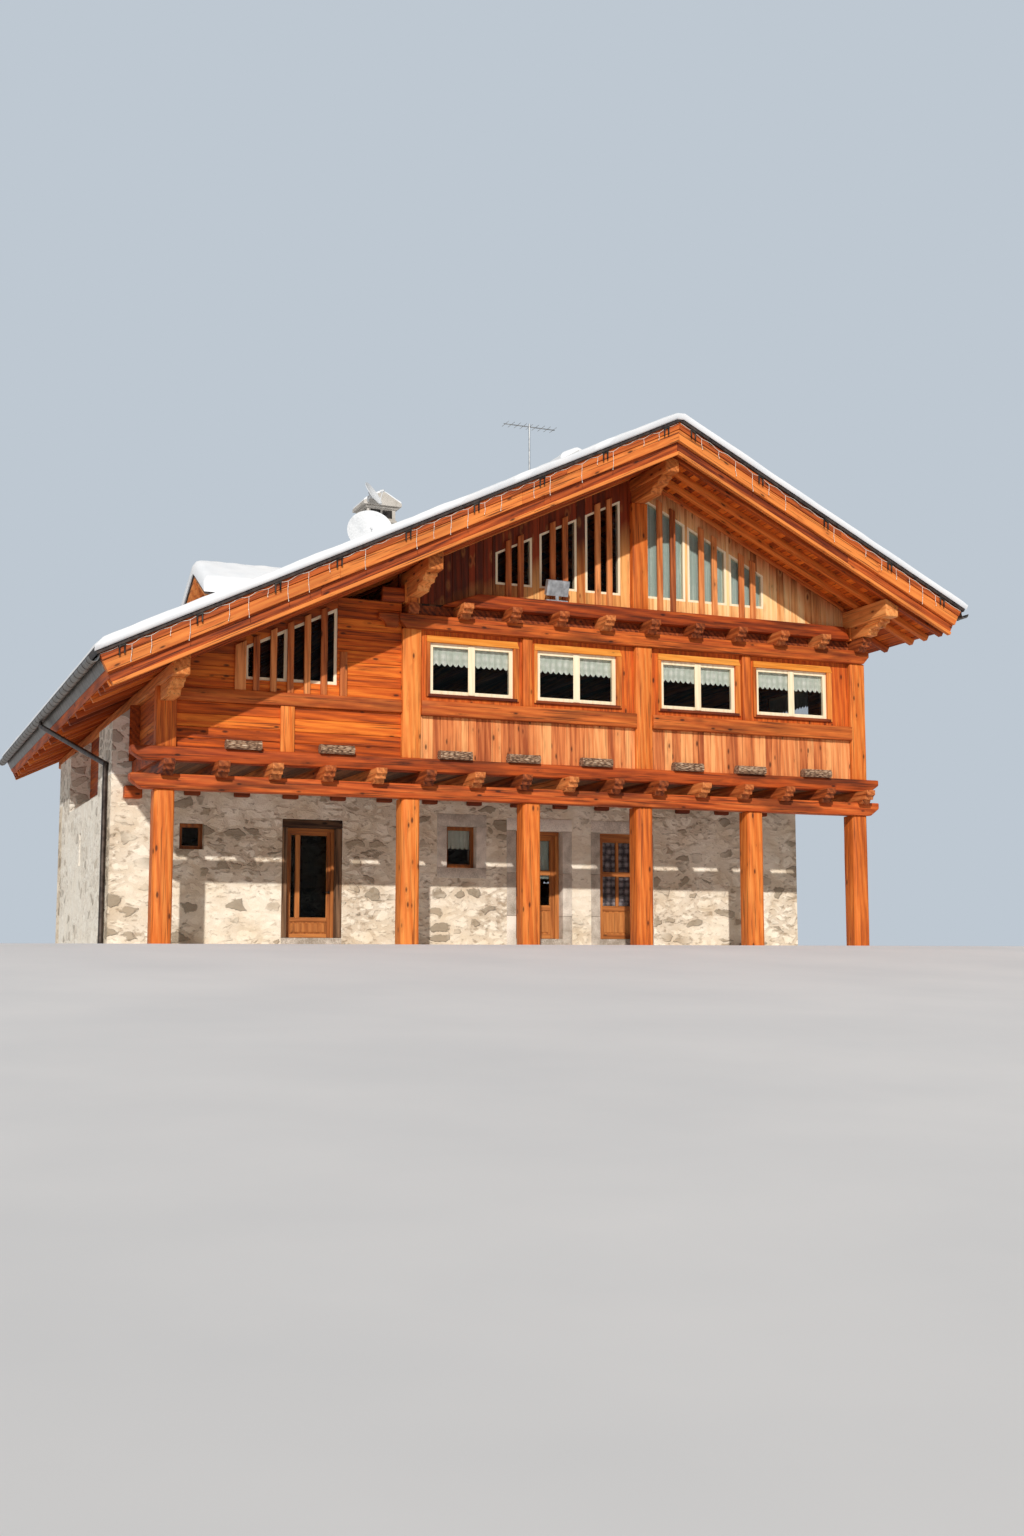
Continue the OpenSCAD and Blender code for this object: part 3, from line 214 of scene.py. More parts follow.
def wood(name, axis, light, middle, dark, toned=True, board=None, knots=0.5, spread=0.5,
         shine=0.6, soot=0.0, roof_stain_and_shade=None, cracks=0.0):
    """Larch or spruce with streaks, flame figure, fibres and knots. toned reads each board's own
    tone; board is the width of the boards drawn on a wide solid; the roof colour, given with two
    depths, is painted near the roof's underside and fades out between them: partly stain the sun
    hasn't bleached, partly painted shade of the roof; cracks is how dark the thin drying cracks
    are."""
    f = Finish(name, shine)
    f.set("Specular IOR Level", 0.28)
    space = f.grain_space(axis)
    if toned:
        tone = f.tone()
    if board:
        rows = f.maths("DIVIDE", f.split(f.space)[0], board)
        tone = f.add("TexWhiteNoise", {"W": f.maths("FLOOR", rows)},
                     noise_dimensions="1D").outputs["Value"]
        place = f.maths("FRACT", rows)
        seam = f.maths("LESS_THAN", f.maths("MINIMUM", place, f.less(1.0, place)), 0.004 / board)
    if toned or board:
        offset = f.times(tone, 37.0)
        space = f.moved(space, f.joined(offset, offset, offset))
    streaks = f.noise(space, (0.8, 15.0, 15.0), 5.0, 0.8)
    fibres = f.noise(space, (4.0, 150.0, 150.0), 2.0)
    broad = f.noise(space, (0.5, 2.0, 2.0), 2.0)
    flame = f.add("TexWave", {
        "Vector": f.stretched(space, (0.35, 5.0, 5.0)), "Scale": 1.0, "Distortion": 5.0,
        "Detail": 3.0, "Detail Scale": 1.2}, bands_direction="DIAGONAL").outputs["Fac"]
    value = f.total((0.36, streaks), (0.26, broad), (0.12, flame), (0.26, fibres))
    if toned or board:
        value = f.plus(value, f.times(f.less(tone, 0.5), spread))
    base = f.ramp(value, (0.24, screen(*dark)), (0.46, screen(*middle)), (0.72, screen(*light)))
    # Painted shade of the roof, partly unbleached stain: a darker colour near the roof's underside
    # that fades out between two depths under it.
    if roof_stain_and_shade:
        colour, least, most = roof_stain_and_shade
        depth = f.plus(f.under_roof(), f.times(broad, 0.5))
        stain_and_shade = f.ramp(value, (0.3, screen(*colour, 0.55)), (0.7, screen(*colour)))
        base = f.mix(f.between(depth, 1.0, 0.0, least, most), base, stain_and_shade)
    cells = f.cells(space, (2.6, 6.5, 6.5))
    chosen = f.maths("GREATER_THAN", f.split(cells["Color"])[0], 1.0 - knots)
    knot = f.times(f.ramp(cells["Distance"], (0.09, 1.0), (0.2, 0.0)), chosen)
    ring = f.times(f.ramp(cells["Distance"], (0.16, 0.0), (0.24, 1.0), (0.42, 0.0)), chosen)
    deep = screen(*dark, 0.42)
    base = f.mix(f.times(ring, 0.35), base, screen(*middle, 0.86))
    base = f.mix(f.times(knot, 0.85), base, deep)
    height = f.total((0.55, streaks), (0.45, fibres), (-0.5, knot))
    if board:
        base = f.mix(seam, base, deep)
        height = f.less(height, f.times(seam, 3.0))
    if soot:
        stain = f.ramp(f.noise(space, (0.7, 4.5, 4.5), 5.0, 0.4), (0.47, 0.0), (0.64, 1.0))
        base = f.mix(f.times(stain, soot), base, deep)
    if cracks:
        crack = f.ramp(f.noise(space, (0.9, 42.0, 42.0), 3.0, 0.3), (0.585, 0.0), (0.64, 1.0))
        base = f.mix(f.times(crack, cracks), base, deep)
        height = f.less(height, f.times(crack, 0.7))
    f.colour(base)
    f.rough(streaks, shine - 0.12, shine + 0.16)
    f.bump(height, 0.55, 0.005)
    return f.material


def rough_plaster(name, light, middle, pits, hollows, rubble, stones=None, bare_and_shaded_above=None):
    """Rough lime plaster over rubble, with ragged hollows. rubble is how strongly the stones'
    outlines show through; stones is the colour and rarity of bare ones; the last height given is
    where most become bare, which darkens the wall above it: partly bare stone, partly painted
    shade."""
    f = Finish(name, 0.92)
    warp = f.add("TexNoise", {"Vector": f.space, "Scale": 3.0, "Detail": 4.0})
    bend = f.add("VectorMath", {0: warp.outputs["Color"], "Scale": 0.2},
                 operation="SCALE").outputs[0]
    space = f.moved(f.space, bend)
    dashes = f.noise(space, (7.5, 7.5, 15.0), 7.0)
    lumps = f.noise(space, (2.6, 2.6, 4.0), 4.0)
    patches = f.noise(f.space, 0.8)
    grit = f.noise(f.space, 75.0, 4.0)
    clouds = f.noise(f.space, 2.0, 6.0)
    pit = f.ramp(f.total((0.6, dashes), (0.2, patches), (0.2, lumps)), (hollows, 0.0),
                 (hollows + 0.09, 1.0))
    lime = f.ramp(f.total((0.45, clouds), (0.3, lumps), (0.25, grit)), (0.38, screen(*middle)),
                  (0.58, screen(*light)))
    stone_scale = (2.9, 2.9, 5.2)
    pick = f.split(f.cells(space, stone_scale)["Color"])
    edge = f.cells(space, stone_scale, "DISTANCE_TO_EDGE")["Distance"]
    inside = f.less(edge, f.times(f.noise(f.space, 14.0, 5.0), 0.2))
    bed = f.times(f.ramp(inside, (-0.02, 1.0), (0.07, 0.0)),
                  f.ramp(patches, (0.4, 0.3), (0.6, 1.0)))
    base = f.mix(f.times(bed, rubble), lime, screen(*pits))
    base = f.mix(f.times(pit, 0.6), base, screen(*pits, 0.88))
    height = f.total((1.0, lumps), (0.5, dashes), (0.22, grit), (-0.35, pit), (-0.8 * rubble, bed))
    if stones:
        colour, rarity = stones
        share = f.total((0.5, patches), (0.5, pick[0]))
        # Above the given height most stones are bare, so the wall's top turns darker: partly bare
        # stone, partly painted shade.
        if bare_and_shaded_above:
            z = f.split(f.space)[2]
            share = f.plus(share, f.between(z, 0.0, 0.34, bare_and_shaded_above - 0.25, bare_and_shaded_above + 0.25))
        bare = f.times(f.ramp(inside, (0.0, 0.0), (0.06, 1.0)),
                       f.ramp(share, (rarity, 0.0), (rarity + 0.08, 1.0)))
        base = f.mix(f.times(bare, 0.85), base,
                     f.mix(pick[1], screen(*colour, 0.84), screen(*colour)))
        height = f.plus(height, f.times(bare, 0.5))
    f.colour(base)
    f.bump(height, 0.85, 0.04)
    return f.material


def granite(name, light, dark):
    """Dressed granite with fine specks and tool marks."""
    f = Finish(name, 0.8)
    specks = f.noise(f.space, 70.0, 4.0)
    clouds = f.noise(f.space, 5.0, 4.0)
    picks = f.cells(f.space, 55.0)["Distance"]
    f.shade(f.total((0.45, specks), (0.35, clouds), (0.2, f.tone())), 0.34, dark, 0.62, light)
    f.bump(f.total((0.5, picks), (0.3, specks), (0.6, clouds)), 0.5, 0.006)
    return f.material


def metal(name, light, dark, metallic, roughness):
    """Sheet metal gone dull, with streaks where water ran."""
    f = Finish(name, roughness, metallic)
    clouds = f.noise(f.space, 9.0, 5.0)
    runs = f.noise(f.space, (14.0, 14.0, 1.2))
    f.shade(f.total((0.6, clouds), (0.4, runs)), 0.38, dark, 0.62, light)
    f.rough(clouds, roughness - 0.1, roughness + 0.18)
    f.bump(f.total((0.7, clouds), (0.3, f.noise(f.space, 90.0))), 0.2, 0.002)
    return f.material


def paint(name, light, dark, roughness):
    """Even paint or enamel with slight wear."""
    f = Finish(name, roughness)
    clouds = f.noise(f.space, 3.0, 5.0)
    fine = f.noise(f.space, 30.0)
    f.shade(f.total((0.6, clouds), (0.4, fine)), 0.36, dark, 0.58, light)
    f.rough(fine, roughness - 0.08, roughness + 0.14)
    f.bump(fine, 0.15, 0.002)
    return f.material


def window_glass(name, light, dark, alpha):
    f = Finish(name, 0.03)
    f.set("Alpha", alpha)
    f.set("IOR", 1.35)
    waves = f.noise(f.space, 1.2, 2.0)
    f.shade(waves, 0.35, dark, 0.65, light)
    f.bump(waves, 0.03, 0.01)
    return f.material


def lace_finish(name, light, dark, holes=46.0, deep=0.5):
    """Thin curtain cloth: knots and open mesh drawn by small cells, with a soft sheen. holes is
    the number of them along a metre, and deep is how much the pattern shows."""
    f = Finish(name, 0.9)
    f.set("Sheen Weight", 0.25)
    mesh = f.cells(f.space, holes, randomness=0.25)["Distance"]
    motif = f.cells(f.space, 7.0, randomness=0.3)["Distance"]
    # Fine upright streaks: painted shade of small folds in the cloth.
    folds = f.noise(f.space, (30.0, 30.0, 1.5), 2.0)
    f.shade(f.total((0.3, mesh), (deep, motif), (0.7 - deep, folds)), 0.22, light, 0.5, dark)
    f.bump(f.total((0.5, mesh), (0.5, motif)), 0.4, 0.003)
    return f.material


def bark_finish(name):
    f = Finish(name, 0.9)
    plates = f.cells(f.space, (9.0, 34.0, 34.0), "DISTANCE_TO_EDGE")["Distance"]
    rough = f.noise(f.space, (12.0, 30.0, 30.0), 5.0)
    f.colour(f.ramp(f.total((0.7, rough), (0.9, plates)), (0.35, screen(84, 60, 44)),
                    (0.5, screen(156, 122, 94)), (0.8, screen(216, 192, 164))))
    f.bump(f.total((1.0, plates), (0.5, rough)), 0.9, 0.02)
    return f.material


def snow_finish(name):
    f = Finish(name, 0.55)
    soft = f.noise(f.space, 1.6, 4.0)
    f.shade(soft, 0.3, (236, 240, 245), 0.7, (247, 248, 250))
    f.bump(f.total((0.5, soft), (0.2, f.noise(f.space, 120.0, 2.0))), 0.25, 0.02)
    return f.material


posts_wood = wood("posts larch", "z", (246, 156, 76), (220, 114, 42), (146, 58, 18),
                  knots=0.6, spread=0.2, soot=0.12, cracks=0.5)
slats_wood = wood("window slats", "z", (236, 156, 92), (196, 108, 54), (120, 56, 26),
                  knots=0.4, spread=0.3, cracks=0.4)
beams_wood = wood("beams larch", "x", (220, 112, 42), (162, 66, 20), (80, 26, 8),
                  knots=0.45, spread=0.28, soot=0.55, cracks=0.65)
sill_wood = wood("sill beam larch", "x", (192, 86, 30), (136, 50, 15), (64, 20, 6),
                 knots=0.45, spread=0.28, soot=0.65, cracks=0.65)
porch_beam_wood = wood("porch beam larch", "x", (232, 122, 54), (186, 80, 27), (100, 34, 11),
                       knots=0.45, spread=0.34, soot=0.6, cracks=0.65)
rails_wood = wood("rails larch", "x", (224, 122, 52), (176, 80, 28), (98, 36, 11),
                  spread=0.2, soot=0.42, cracks=0.6)
joists_wood = wood("joists larch", "y", (228, 142, 78), (176, 88, 40), (88, 34, 14),
                   knots=0.3, spread=0.3, soot=0.35, cracks=0.5)
purlin_wood = wood("purlins larch", "y", (246, 168, 96), (210, 120, 56), (132, 60, 24),
                   spread=0.3, cracks=0.4)
apron_wood = wood("apron boards", "z", (246, 172, 108), (222, 130, 72), (164, 80, 40),
                  knots=1.0, spread=0.42, cracks=0.35)
# The bay planks and the gable boards turn darker near the roof: painted shade of the roof, partly
# stain the sun hasn't bleached.
plank_wood = wood("bay planks", "x", (250, 142, 48), (204, 90, 20), (112, 40, 6),
                  knots=0.6, spread=0.3, cracks=0.6, roof_stain_and_shade=((166, 74, 24), 0.8, 1.6))
gable_wood = wood("gable boards", "z", (255, 224, 164), (252, 196, 128), (218, 138, 72),
                  spread=0.36, cracks=0.35, roof_stain_and_shade=((196, 92, 30), 0.9, 1.5))
# A darker copy of the gable boards for the half west of the ridge: painted shade of the roof's
# overhang, partly unbleached stain, reaching deeper under the roof.
gable_shaded_wood = wood("unbleached and shaded gable boards", "z", (246, 184, 112), (232, 160, 88),
                       (178, 98, 42), knots=0.4, spread=0.4, cracks=0.4,
                       roof_stain_and_shade=((150, 58, 22), 1.75, 2.4))
side_wood = wood("side planks", "y", (216, 122, 52), (176, 82, 28), (108, 42, 12),
                 spread=0.34, cracks=0.55)
band_wood = wood("band wall boards", "z", (236, 128, 46), (200, 88, 26), (132, 50, 12),
                 toned=False, knots=0.4, cracks=0.4)
casing_wood = wood("casings", "z", (240, 158, 78), (216, 122, 50), (150, 68, 24),
                   spread=0.34, cracks=0.35)
head_wood = wood("casing heads", "x", (242, 164, 70), (222, 132, 42), (160, 78, 22),
                 knots=0.45, spread=0.3, cracks=0.3)
# Dark wood for the mouldings under the band windows, and painted shade on the joist seats under the
# porch beam.
dark_and_shaded_wood = wood("dark mouldings and painted shade", "x", (150, 70, 28), (110, 44, 16), (66, 22, 8),
                  knots=0.2, spread=0.3, cracks=0.3)
verge_wood = wood("verge boards", "slope", (236, 140, 66), (200, 96, 38), (112, 42, 14),
                  spread=0.66, soot=0.22, cracks=0.75)
rafter_wood = wood("rafters", "slope", (236, 130, 52), (186, 84, 26), (104, 38, 10),
                   knots=0.4, spread=0.35, cracks=0.4)
soffit_wood = wood("soffit boards", "y", (246, 130, 42), (200, 90, 24), (116, 42, 10),
                   toned=False, board=0.15, spread=0.35, cracks=0.3)
# Dark floor boards: painted shade between the joists under the porch.
shaded_floor_wood = wood("floor boards painted in shade", "y", (132, 84, 50), (98, 60, 36), (56, 34, 22),
                  toned=False, board=0.14)
cream = wood("window frames", "z", (255, 242, 212), (248, 230, 194), (222, 196, 154),
             toned=False, knots=0.1, shine=0.42)
door_wood, door_rail_wood = [
    wood(name, axis, (210, 136, 72), (170, 100, 48), (104, 56, 24), knots=0.25, spread=0.25,
         shine=0.5, cracks=0.3) for name, axis in (("door larch", "z"), ("door rails", "x"))]
old_wood = wood("weathered door frame", "z", (176, 142, 110), (126, 94, 68), (62, 42, 30),
                knots=0.4, spread=0.4, shine=0.85, cracks=0.7)
old_head_wood = wood("weathered door head", "x", (158, 124, 94), (106, 78, 56), (46, 30, 22),
                     spread=0.4, shine=0.85, soot=0.5, cracks=0.8)
plaster = rough_plaster("lime plaster", (255, 244, 224), (234, 216, 188), (168, 138, 104),
                        0.53, 0.38, ((176, 156, 130), 0.61))
# A brighter copy of the plaster for the west wall: painted sunlight, partly whiter plaster.
sunlit_west_plaster = rough_plaster("west lime plaster painted sunlit", (255, 250, 238), (250, 242, 226),
                             (208, 192, 170), 0.55, 0.3, ((214, 202, 184), 0.64), 3.15)
paving = rough_plaster("ground floor stone", (176, 168, 156), (150, 142, 130),
                       (112, 104, 94), 0.58, 0.6)
render_grey = rough_plaster("chimney render", (206, 200, 192), (176, 170, 160),
                            (128, 120, 110), 0.58, 0.1)
granite_grey = granite("dressed granite", (244, 232, 216), (150, 136, 120))
sheet_dark = metal("roof sheet", (78, 66, 60), (44, 36, 34), 0.5, 0.5)
zinc = metal("zinc", (138, 132, 126), (86, 80, 75), 0.8, 0.4)
pipe_metal = metal("pipe sheet", (96, 84, 76), (54, 46, 42), 0.8, 0.4)
aerial_metal = metal("aerial metal", (190, 190, 188), (140, 140, 140), 0.9, 0.35)
iron = metal("wrought fittings", (84, 78, 72), (40, 36, 34), 0.9, 0.45)
lamp_metal = metal("lamp metal", (196, 198, 200), (146, 148, 150), 0.6, 0.4)
dish_white = paint("dish enamel", (226, 228, 230), (204, 207, 210), 0.4)
cable = paint("light cable", (240, 232, 220), (206, 196, 182), 0.5)
bulb_glass = paint("bulb glass", (252, 246, 232), (228, 218, 200), 0.25)
bark = bark_finish("bark")
glass = window_glass("window glass", (20, 23, 22), (8, 9, 9), 0.12)
# The dormer's pane is opaque and dark: painted shade of the room behind it.
dormer_pane_painted_dark = window_glass("dormer pane painted dark", (26, 30, 32), (10, 12, 13), 1.0)
lace = lace_finish("lace", (252, 254, 244), (206, 216, 200))
voile = lace_finish("voile curtain", (226, 240, 228), (178, 198, 186), deep=0.1)
door_lace = lace_finish("door lace", (188, 176, 176), (66, 58, 62), 30.0, 0.62)
snow = snow_finish("snow")

# Finishes of the CAD nodes that show as they are, or where no piece covers them
for finish, nodes in (
        (plaster, "front_wall_west front_wall_middle front_wall_centre front_wall_east "
                  "front_wall_head back_wall east_wall"),
        (sunlit_west_plaster, "west_wall"), (paving, "ground_floor"), (granite_grey, "door_sills"),
        (door_wood, "ground_windows"), (cream, "upper_windows gable_windows"),
        (glass, "ground_glass upper_glass door_glass_west door_glass_middle door_glass_east"),
        (iron, "hinge_pins door_fittings_west door_fittings_middle door_fittings_east"),
        (shaded_floor_wood, "timber_floors"), (band_wood, "band_walls"), (joists_wood, "canopy_infill"),
        (soffit_wood, "roof_deck"), (sheet_dark, "roof_cover ridge_cap"), (zinc, "gutters"),
        (pipe_metal, "downpipe"), (render_grey, "chimneys"), (gable_wood, "dormer"),
        (dish_white, "satellite_dish"), (aerial_metal, "antenna"), (bark, "log_planters"),
        (lamp_metal, "floodlight")):
    for node in nodes.split():
        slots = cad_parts[node].data.materials
        slots.clear()
        slots.append(finish)


# Making of pieces
def piece(name, bm, finish, replaces=(), body="house", sharp=35.0, placed=False):
    """Turns a bmesh into a piece that rides on a body. finish is one or several; placed says it
    is in the frame already."""
    if not placed:
        bmesh.ops.translate(bm, verts=bm.verts, vec=PLAN)
    mesh = bpy.data.meshes.new(name)
    bm.to_mesh(mesh)
    bm.free()
    for one in finish if isinstance(finish, tuple) else (finish,):
        mesh.materials.append(one)
    mesh.shade_smooth()
    mesh.set_sharp_from_angle(angle=math.radians(sharp))
    obj = show(name, mesh)
    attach(obj, body)
    if replaces:
        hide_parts(*replaces)
    return obj


def bevelled(bm, edges, size, segments=1):
    if edges:
        bmesh.ops.bevel(bm, geom=edges, offset=size, offset_type="OFFSET", segments=segments,
                        profile=0.5, affect="EDGES", clamp_overlap=True, material=-1)


def whole(bm):
    return bm.verts[:] + bm.edges[:] + bm.faces[:]


def grid(across, along):
    """A new flat sheet, one unit each way, round the middle."""
    bm = bmesh.new()
    bmesh.ops.create_grid(bm, x_segments=across, y_segments=along, size=0.5)
    return bm


def cut_off(bm, point, outward):
    """Cuts away what lies outward of a plane and closes the cut."""
    made = bmesh.ops.bisect_plane(bm, geom=whole(bm), plane_co=point, plane_no=outward,
                                  clear_outer=True)
    rim = [e for e in made["geom_cut"] if isinstance(e, bmesh.types.BMEdge)]
    if rim:
        bmesh.ops.contextual_create(bm, geom=rim)


class Boards:
    """Boards and blocks gathered in one mesh, each with its own tone."""

    def __init__(self):
        self.bm = bmesh.new()
        self.tone = self.bm.faces.layers.float.new("tone")

    def take(self, part, tone=None, kind=0):
        """Adds a whole bmesh as one board; kind picks one of the piece's finishes."""
        mesh = bpy.data.meshes.new("board")
        part.to_mesh(mesh)
        part.free()
        first = len(self.bm.faces)
        self.bm.from_mesh(mesh)
        bpy.data.meshes.remove(mesh)
        self.bm.faces.ensure_lookup_table()
        tone = random.random() if tone is None else tone
        for face in self.bm.faces[first:]:
            face[self.tone] = tone
            face.material_index = kind

    def block(self, x0, x1, y0, y1, z0, z1, cuts=(), bevel=0.004, tone=None, back=False,
              side=0, segments=1, kind=0):
        """A block between two corners. cuts are (point, outward direction) planes. back puts it
        on the back wall. side -1 or 1 leans it to the west or east slope, with z0 and z1 as
        heights over the roof's top face."""
        if x1 - x0 < 0.004 or y1 - y0 < 0.002 or z1 - z0 < 0.004:
            return
        if back:
            y0, y1 = DEPTH - y1, DEPTH - y0
        part = bmesh.new()
        bmesh.ops.create_cube(part, size=1.0)
        bmesh.ops.scale(part, verts=part.verts, vec=(x1 - x0, y1 - y0, z1 - z0))
        bmesh.ops.translate(part, verts=part.verts,
                            vec=((x0 + x1) / 2, (y0 + y1) / 2, (z0 + z1) / 2))
        if side:
            lean = Matrix.Identity(4)
            lean[2][0] = -side * PITCH
            lean[2][3] = RIDGE.z + side * PITCH * RIDGE.x
            bmesh.ops.transform(part, matrix=lean, verts=part.verts)
        for point, outward in cuts:
            cut_off(part, point, outward)
        if len(part.faces) < 4:
            part.free()
            return
        if bevel:
            bevelled(part, part.edges[:], bevel, segments)
        self.take(part, tone, kind)

    def done(self, name, finish, slot, *replaces, body="house", sharp=35.0):
        piece(name, self.bm, finish, replaces, body, sharp)


def steps(low, high, least, most, marks=()):
    """Joints between low and high at uneven widths, with a joint at every mark."""
    ends = sorted({low, high, *[m for m in marks if low < m < high]})
    places = [low]
    for a, b in pairs(ends):
        at = a
        while b - at > most:
            at += random.uniform(least, most)
            if b - at < least * 0.5:
                break
            places.append(at)
        if places[-1] > b - least * 0.5 and places[-1] > a:
            places.pop()
        places.append(b)
    return places


def pairs(places):
    """Each place with the next one."""
    return zip(places, places[1:])


def under_slope(side, depth):
    """Cutting plane of the roof's slope at a depth under its top face; keeps what is below."""
    return (Vector((RIDGE.x, 0.0, RIDGE.z - depth)), Vector((side * PITCH, 0.0, 1.0)))


def flipped(plane):
    return (plane[0], -plane[1])


def over_slope(side, depth):
    return flipped(under_slope(side, depth))


def shells(bm):
    """Faces of each separate solid, the solids in the order of their places."""
    left = set(bm.faces)
    solids = []
    for first in bm.faces:
        if first not in left:
            continue
        left.remove(first)
        heap = [first]
        found = [first]
        while heap:
            for edge in heap.pop().edges:
                for face in edge.link_faces:
                    if face in left:
                        left.remove(face)
                        heap.append(face)
                        found.append(face)
        solids.append(found)
    return sorted(solids, key=box_round)


def box_round(faces):
    points = [vert.co for face in faces for vert in face.verts]
    return [round(end(point[i] for point in points), 2) for end in (min, max) for i in range(3)]


def hewn(name, node, finish, axis, edge, step=0.45, wander=0.004, segments=2, least=30.0):
    """A copy of a CAD node's solids with eased edges and the slight waver of worked timber. step
    is the distance of the cross cuts that let it waver."""
    bm = bmesh.new()
    bm.from_mesh(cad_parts[node].data)
    bmesh.ops.remove_doubles(bm, verts=bm.verts, dist=0.0002)
    bmesh.ops.dissolve_limit(bm, angle_limit=math.radians(1.5), verts=bm.verts, edges=bm.edges)
    bevelled(bm, [e for e in bm.edges if len(e.link_faces) == 2
                  and e.calc_face_angle(0.0) > math.radians(least)], edge, segments)
    if step:
        along = "xyz".index(axis)
        outward = Vector([float(i == along) for i in range(3)])
        low = min(v.co[along] for v in bm.verts)
        high = max(v.co[along] for v in bm.verts)
        count = int((high - low) / step)
        for i in range(1, count):
            bmesh.ops.bisect_plane(bm, geom=whole(bm), plane_no=outward,
                                   plane_co=outward * (low + (high - low) * i / count))
    for vert in bm.verts:
        vert.co += noise.noise_vector(vert.co * 1.9) * wander
    tone = bm.faces.layers.float.new("tone")
    for faces in shells(bm):
        value = random.random()
        for face in faces:
            face[tone] = value
    piece(name, bm, finish, (node,), placed=True)


hewn("posts_of_porch", "porch_posts", posts_wood, "z", 0.016)
hewn("posts_above", "upper_posts", posts_wood, "z", 0.014)
hewn("beams_of_porch", "porch_beams", porch_beam_wood, "x", 0.02)
hewn("beams_at_sill", "sill_beams", sill_wood, "x", 0.02)
hewn("beams_of_canopy", "canopy_beams", beams_wood, "x", 0.02)
hewn("rails_and_belts", "rail_beams", rails_wood, "x", 0.014)
hewn("joists_with_noses", "carved_joists", joists_wood, "y", 0.01, step=1.2)
hewn("purlin_logs", "purlins", purlin_wood, "y", 0.03, step=0.6, segments=3, least=15.0)
hewn("corbels_of_purlins", "purlin_corbels", purlin_wood, "y", 0.012, step=0.0)
hewn("rafter_timbers", "rafters", rafter_wood, "x", 0.008, step=1.5)
hewn("slats_of_windows", "window_slats", slats_wood, "z", 0.006, step=0.5, wander=0.002)
hewn("rake_mouldings", "rake_trims", verge_wood, "x", 0.01, step=1.5)

# Front faces of the stone wall, of the band and bay walls, of the gable and of the verges
STONE_Y, BAND_Y, GABLE_Y, VERGE_Y = 2.5, 0.1, 0.26, -1.6
# Middle of the east corner post, ends of the bay and of the side walls
EAST_X, BAY_X, SIDE_Y = 14.4, (0.15, 4.36), (0.24, 12.46)
# Top of the sill beam, foot of the long side walls, and their top at the west
SILL_BEAM, SIDE_FOOT, WEST_TOP = 3.45, 3.26, 4.519
# Foot and head of the window band; foot of the gable, and of the part behind its slats
SILL, HEAD, GABLE_FOOT, SLATS_FOOT = 4.7, 5.68, 6.45, 6.96
# Windows of the band, of the east side, of the gable and of the west bay
BAND_WINDOWS, WINDOW_W = (4.92, 7.12, 9.81, 12.0), 1.7
SIDE_WINDOWS = ((1.9, 3.6), (5.5, 7.2), (9.1, 10.8))
GABLE_WINDOWS = ((6.32, 7.09), (7.25, 8.05), (8.24, 9.01), (9.59, 10.48), (10.54, 11.44),
                 (11.51, 12.31))
BAY_WINDOW, BAY_SILL = (1.41, 3.12), 4.75
# Upper ends of the boards of gable and bay, before the roof cuts them
GABLE_TOP, BAY_TOP = 9.8, 6.4

# Short seats under the floor joists where they meet the stone walls, dark to paint the shade of the
# porch beam over them
JOIST_STEP = 0.96
seats = Boards()
for i in range(1, 15):
    x = JOIST_STEP * i
    for back in ENDS:
        seats.block(x - 0.15, x + 0.15, STONE_Y - 0.16, STONE_Y, 2.84, 2.968, bevel=0.025,
                    back=back, segments=2)
seats.done("seats_of_joists", dark_and_shaded_wood, "frame_timber")

# Boards of the apron under the window band
apron = Boards()
for x0, x1 in ((4.72, 9.21), (9.57, 14.22)):
    for back in ENDS:
        for a, b in pairs(steps(x0, x1, 0.085, 0.2)):
            proud = random.uniform(0.0, 0.009)
            apron.block(a + 0.002, b - 0.002, 0.064 - proud, BAND_Y, SILL_BEAM, 4.27,
                        bevel=0.006, back=back)
apron.done("boards_of_apron", apron_wood, "wall_boards", "apron_boards")

# Planks of the west bay, round its slatted window
bay = Boards()
bay_slope = under_slope(-1, SOFFIT_D + 0.03)
over_window = over_slope(-1, RAFTER_D + 0.15)
for back in ENDS:
    for low, high in pairs(steps(SILL_BEAM, BAY_TOP, 0.17, 0.24, marks=(4.3, 4.54, BAY_SILL))):
        spans = ((BAY_X[0] + (0.03 if high < 4.53 else 0.0), BAY_X[1]),)
        if low > SILL:
            spans = ((BAY_X[0], BAY_WINDOW[0]), (BAY_WINDOW[1], BAY_X[1]))
        for x0, x1 in spans:
            bay.block(x0, x1, BAND_Y - random.uniform(0.0, 0.006), BAND_Y + 0.12, low + 0.002,
                      high - 0.002, (bay_slope,), 0.007, back=back)
        if low > SILL:
            bay.block(*BAY_WINDOW, BAND_Y, BAND_Y + 0.12, low, high, (bay_slope, over_window),
                      0.0, back=back)
bay.done("planks_of_west_bay", plank_wood, "wall_boards", "west_gable_walls")

# Upright boards of the gable, round its six windows
gable = Boards()
marks = (*[x for window in GABLE_WINDOWS for x in window], RIDGE.x)
for back in ENDS:
    for a, b in pairs(steps(BAY_X[1], EAST_X, 0.12, 0.19, marks)):
        middle = (a + b) / 2
        side = -1 if middle < RIDGE.x else 1
        top = under_slope(side, SOFFIT_D + 0.03)
        ys = (GABLE_Y - random.uniform(0.0, 0.008), GABLE_Y + 0.1)
        # Boards west of the ridge take the darker copy, which paints the shade on that half.
        look = {"back": back, "kind": 1 if side < 0 else 0}
        if any(x0 - 0.001 < middle < x1 + 0.001 for x0, x1 in GABLE_WINDOWS):
            gable.block(a, b, *ys, GABLE_FOOT, SLATS_FOOT, **look)
            gable.block(a, b, *ys, SLATS_FOOT, GABLE_TOP,
                        (top, over_slope(side, RAFTER_D + 0.33)), **look)
        else:
            gable.block(a + 0.0015, b - 0.0015, *ys, GABLE_FOOT, GABLE_TOP, (top,), 0.005, **look)
gable.done("boards_of_gable", (gable_wood, gable_shaded_wood), "wall_boards", "gable_walls")

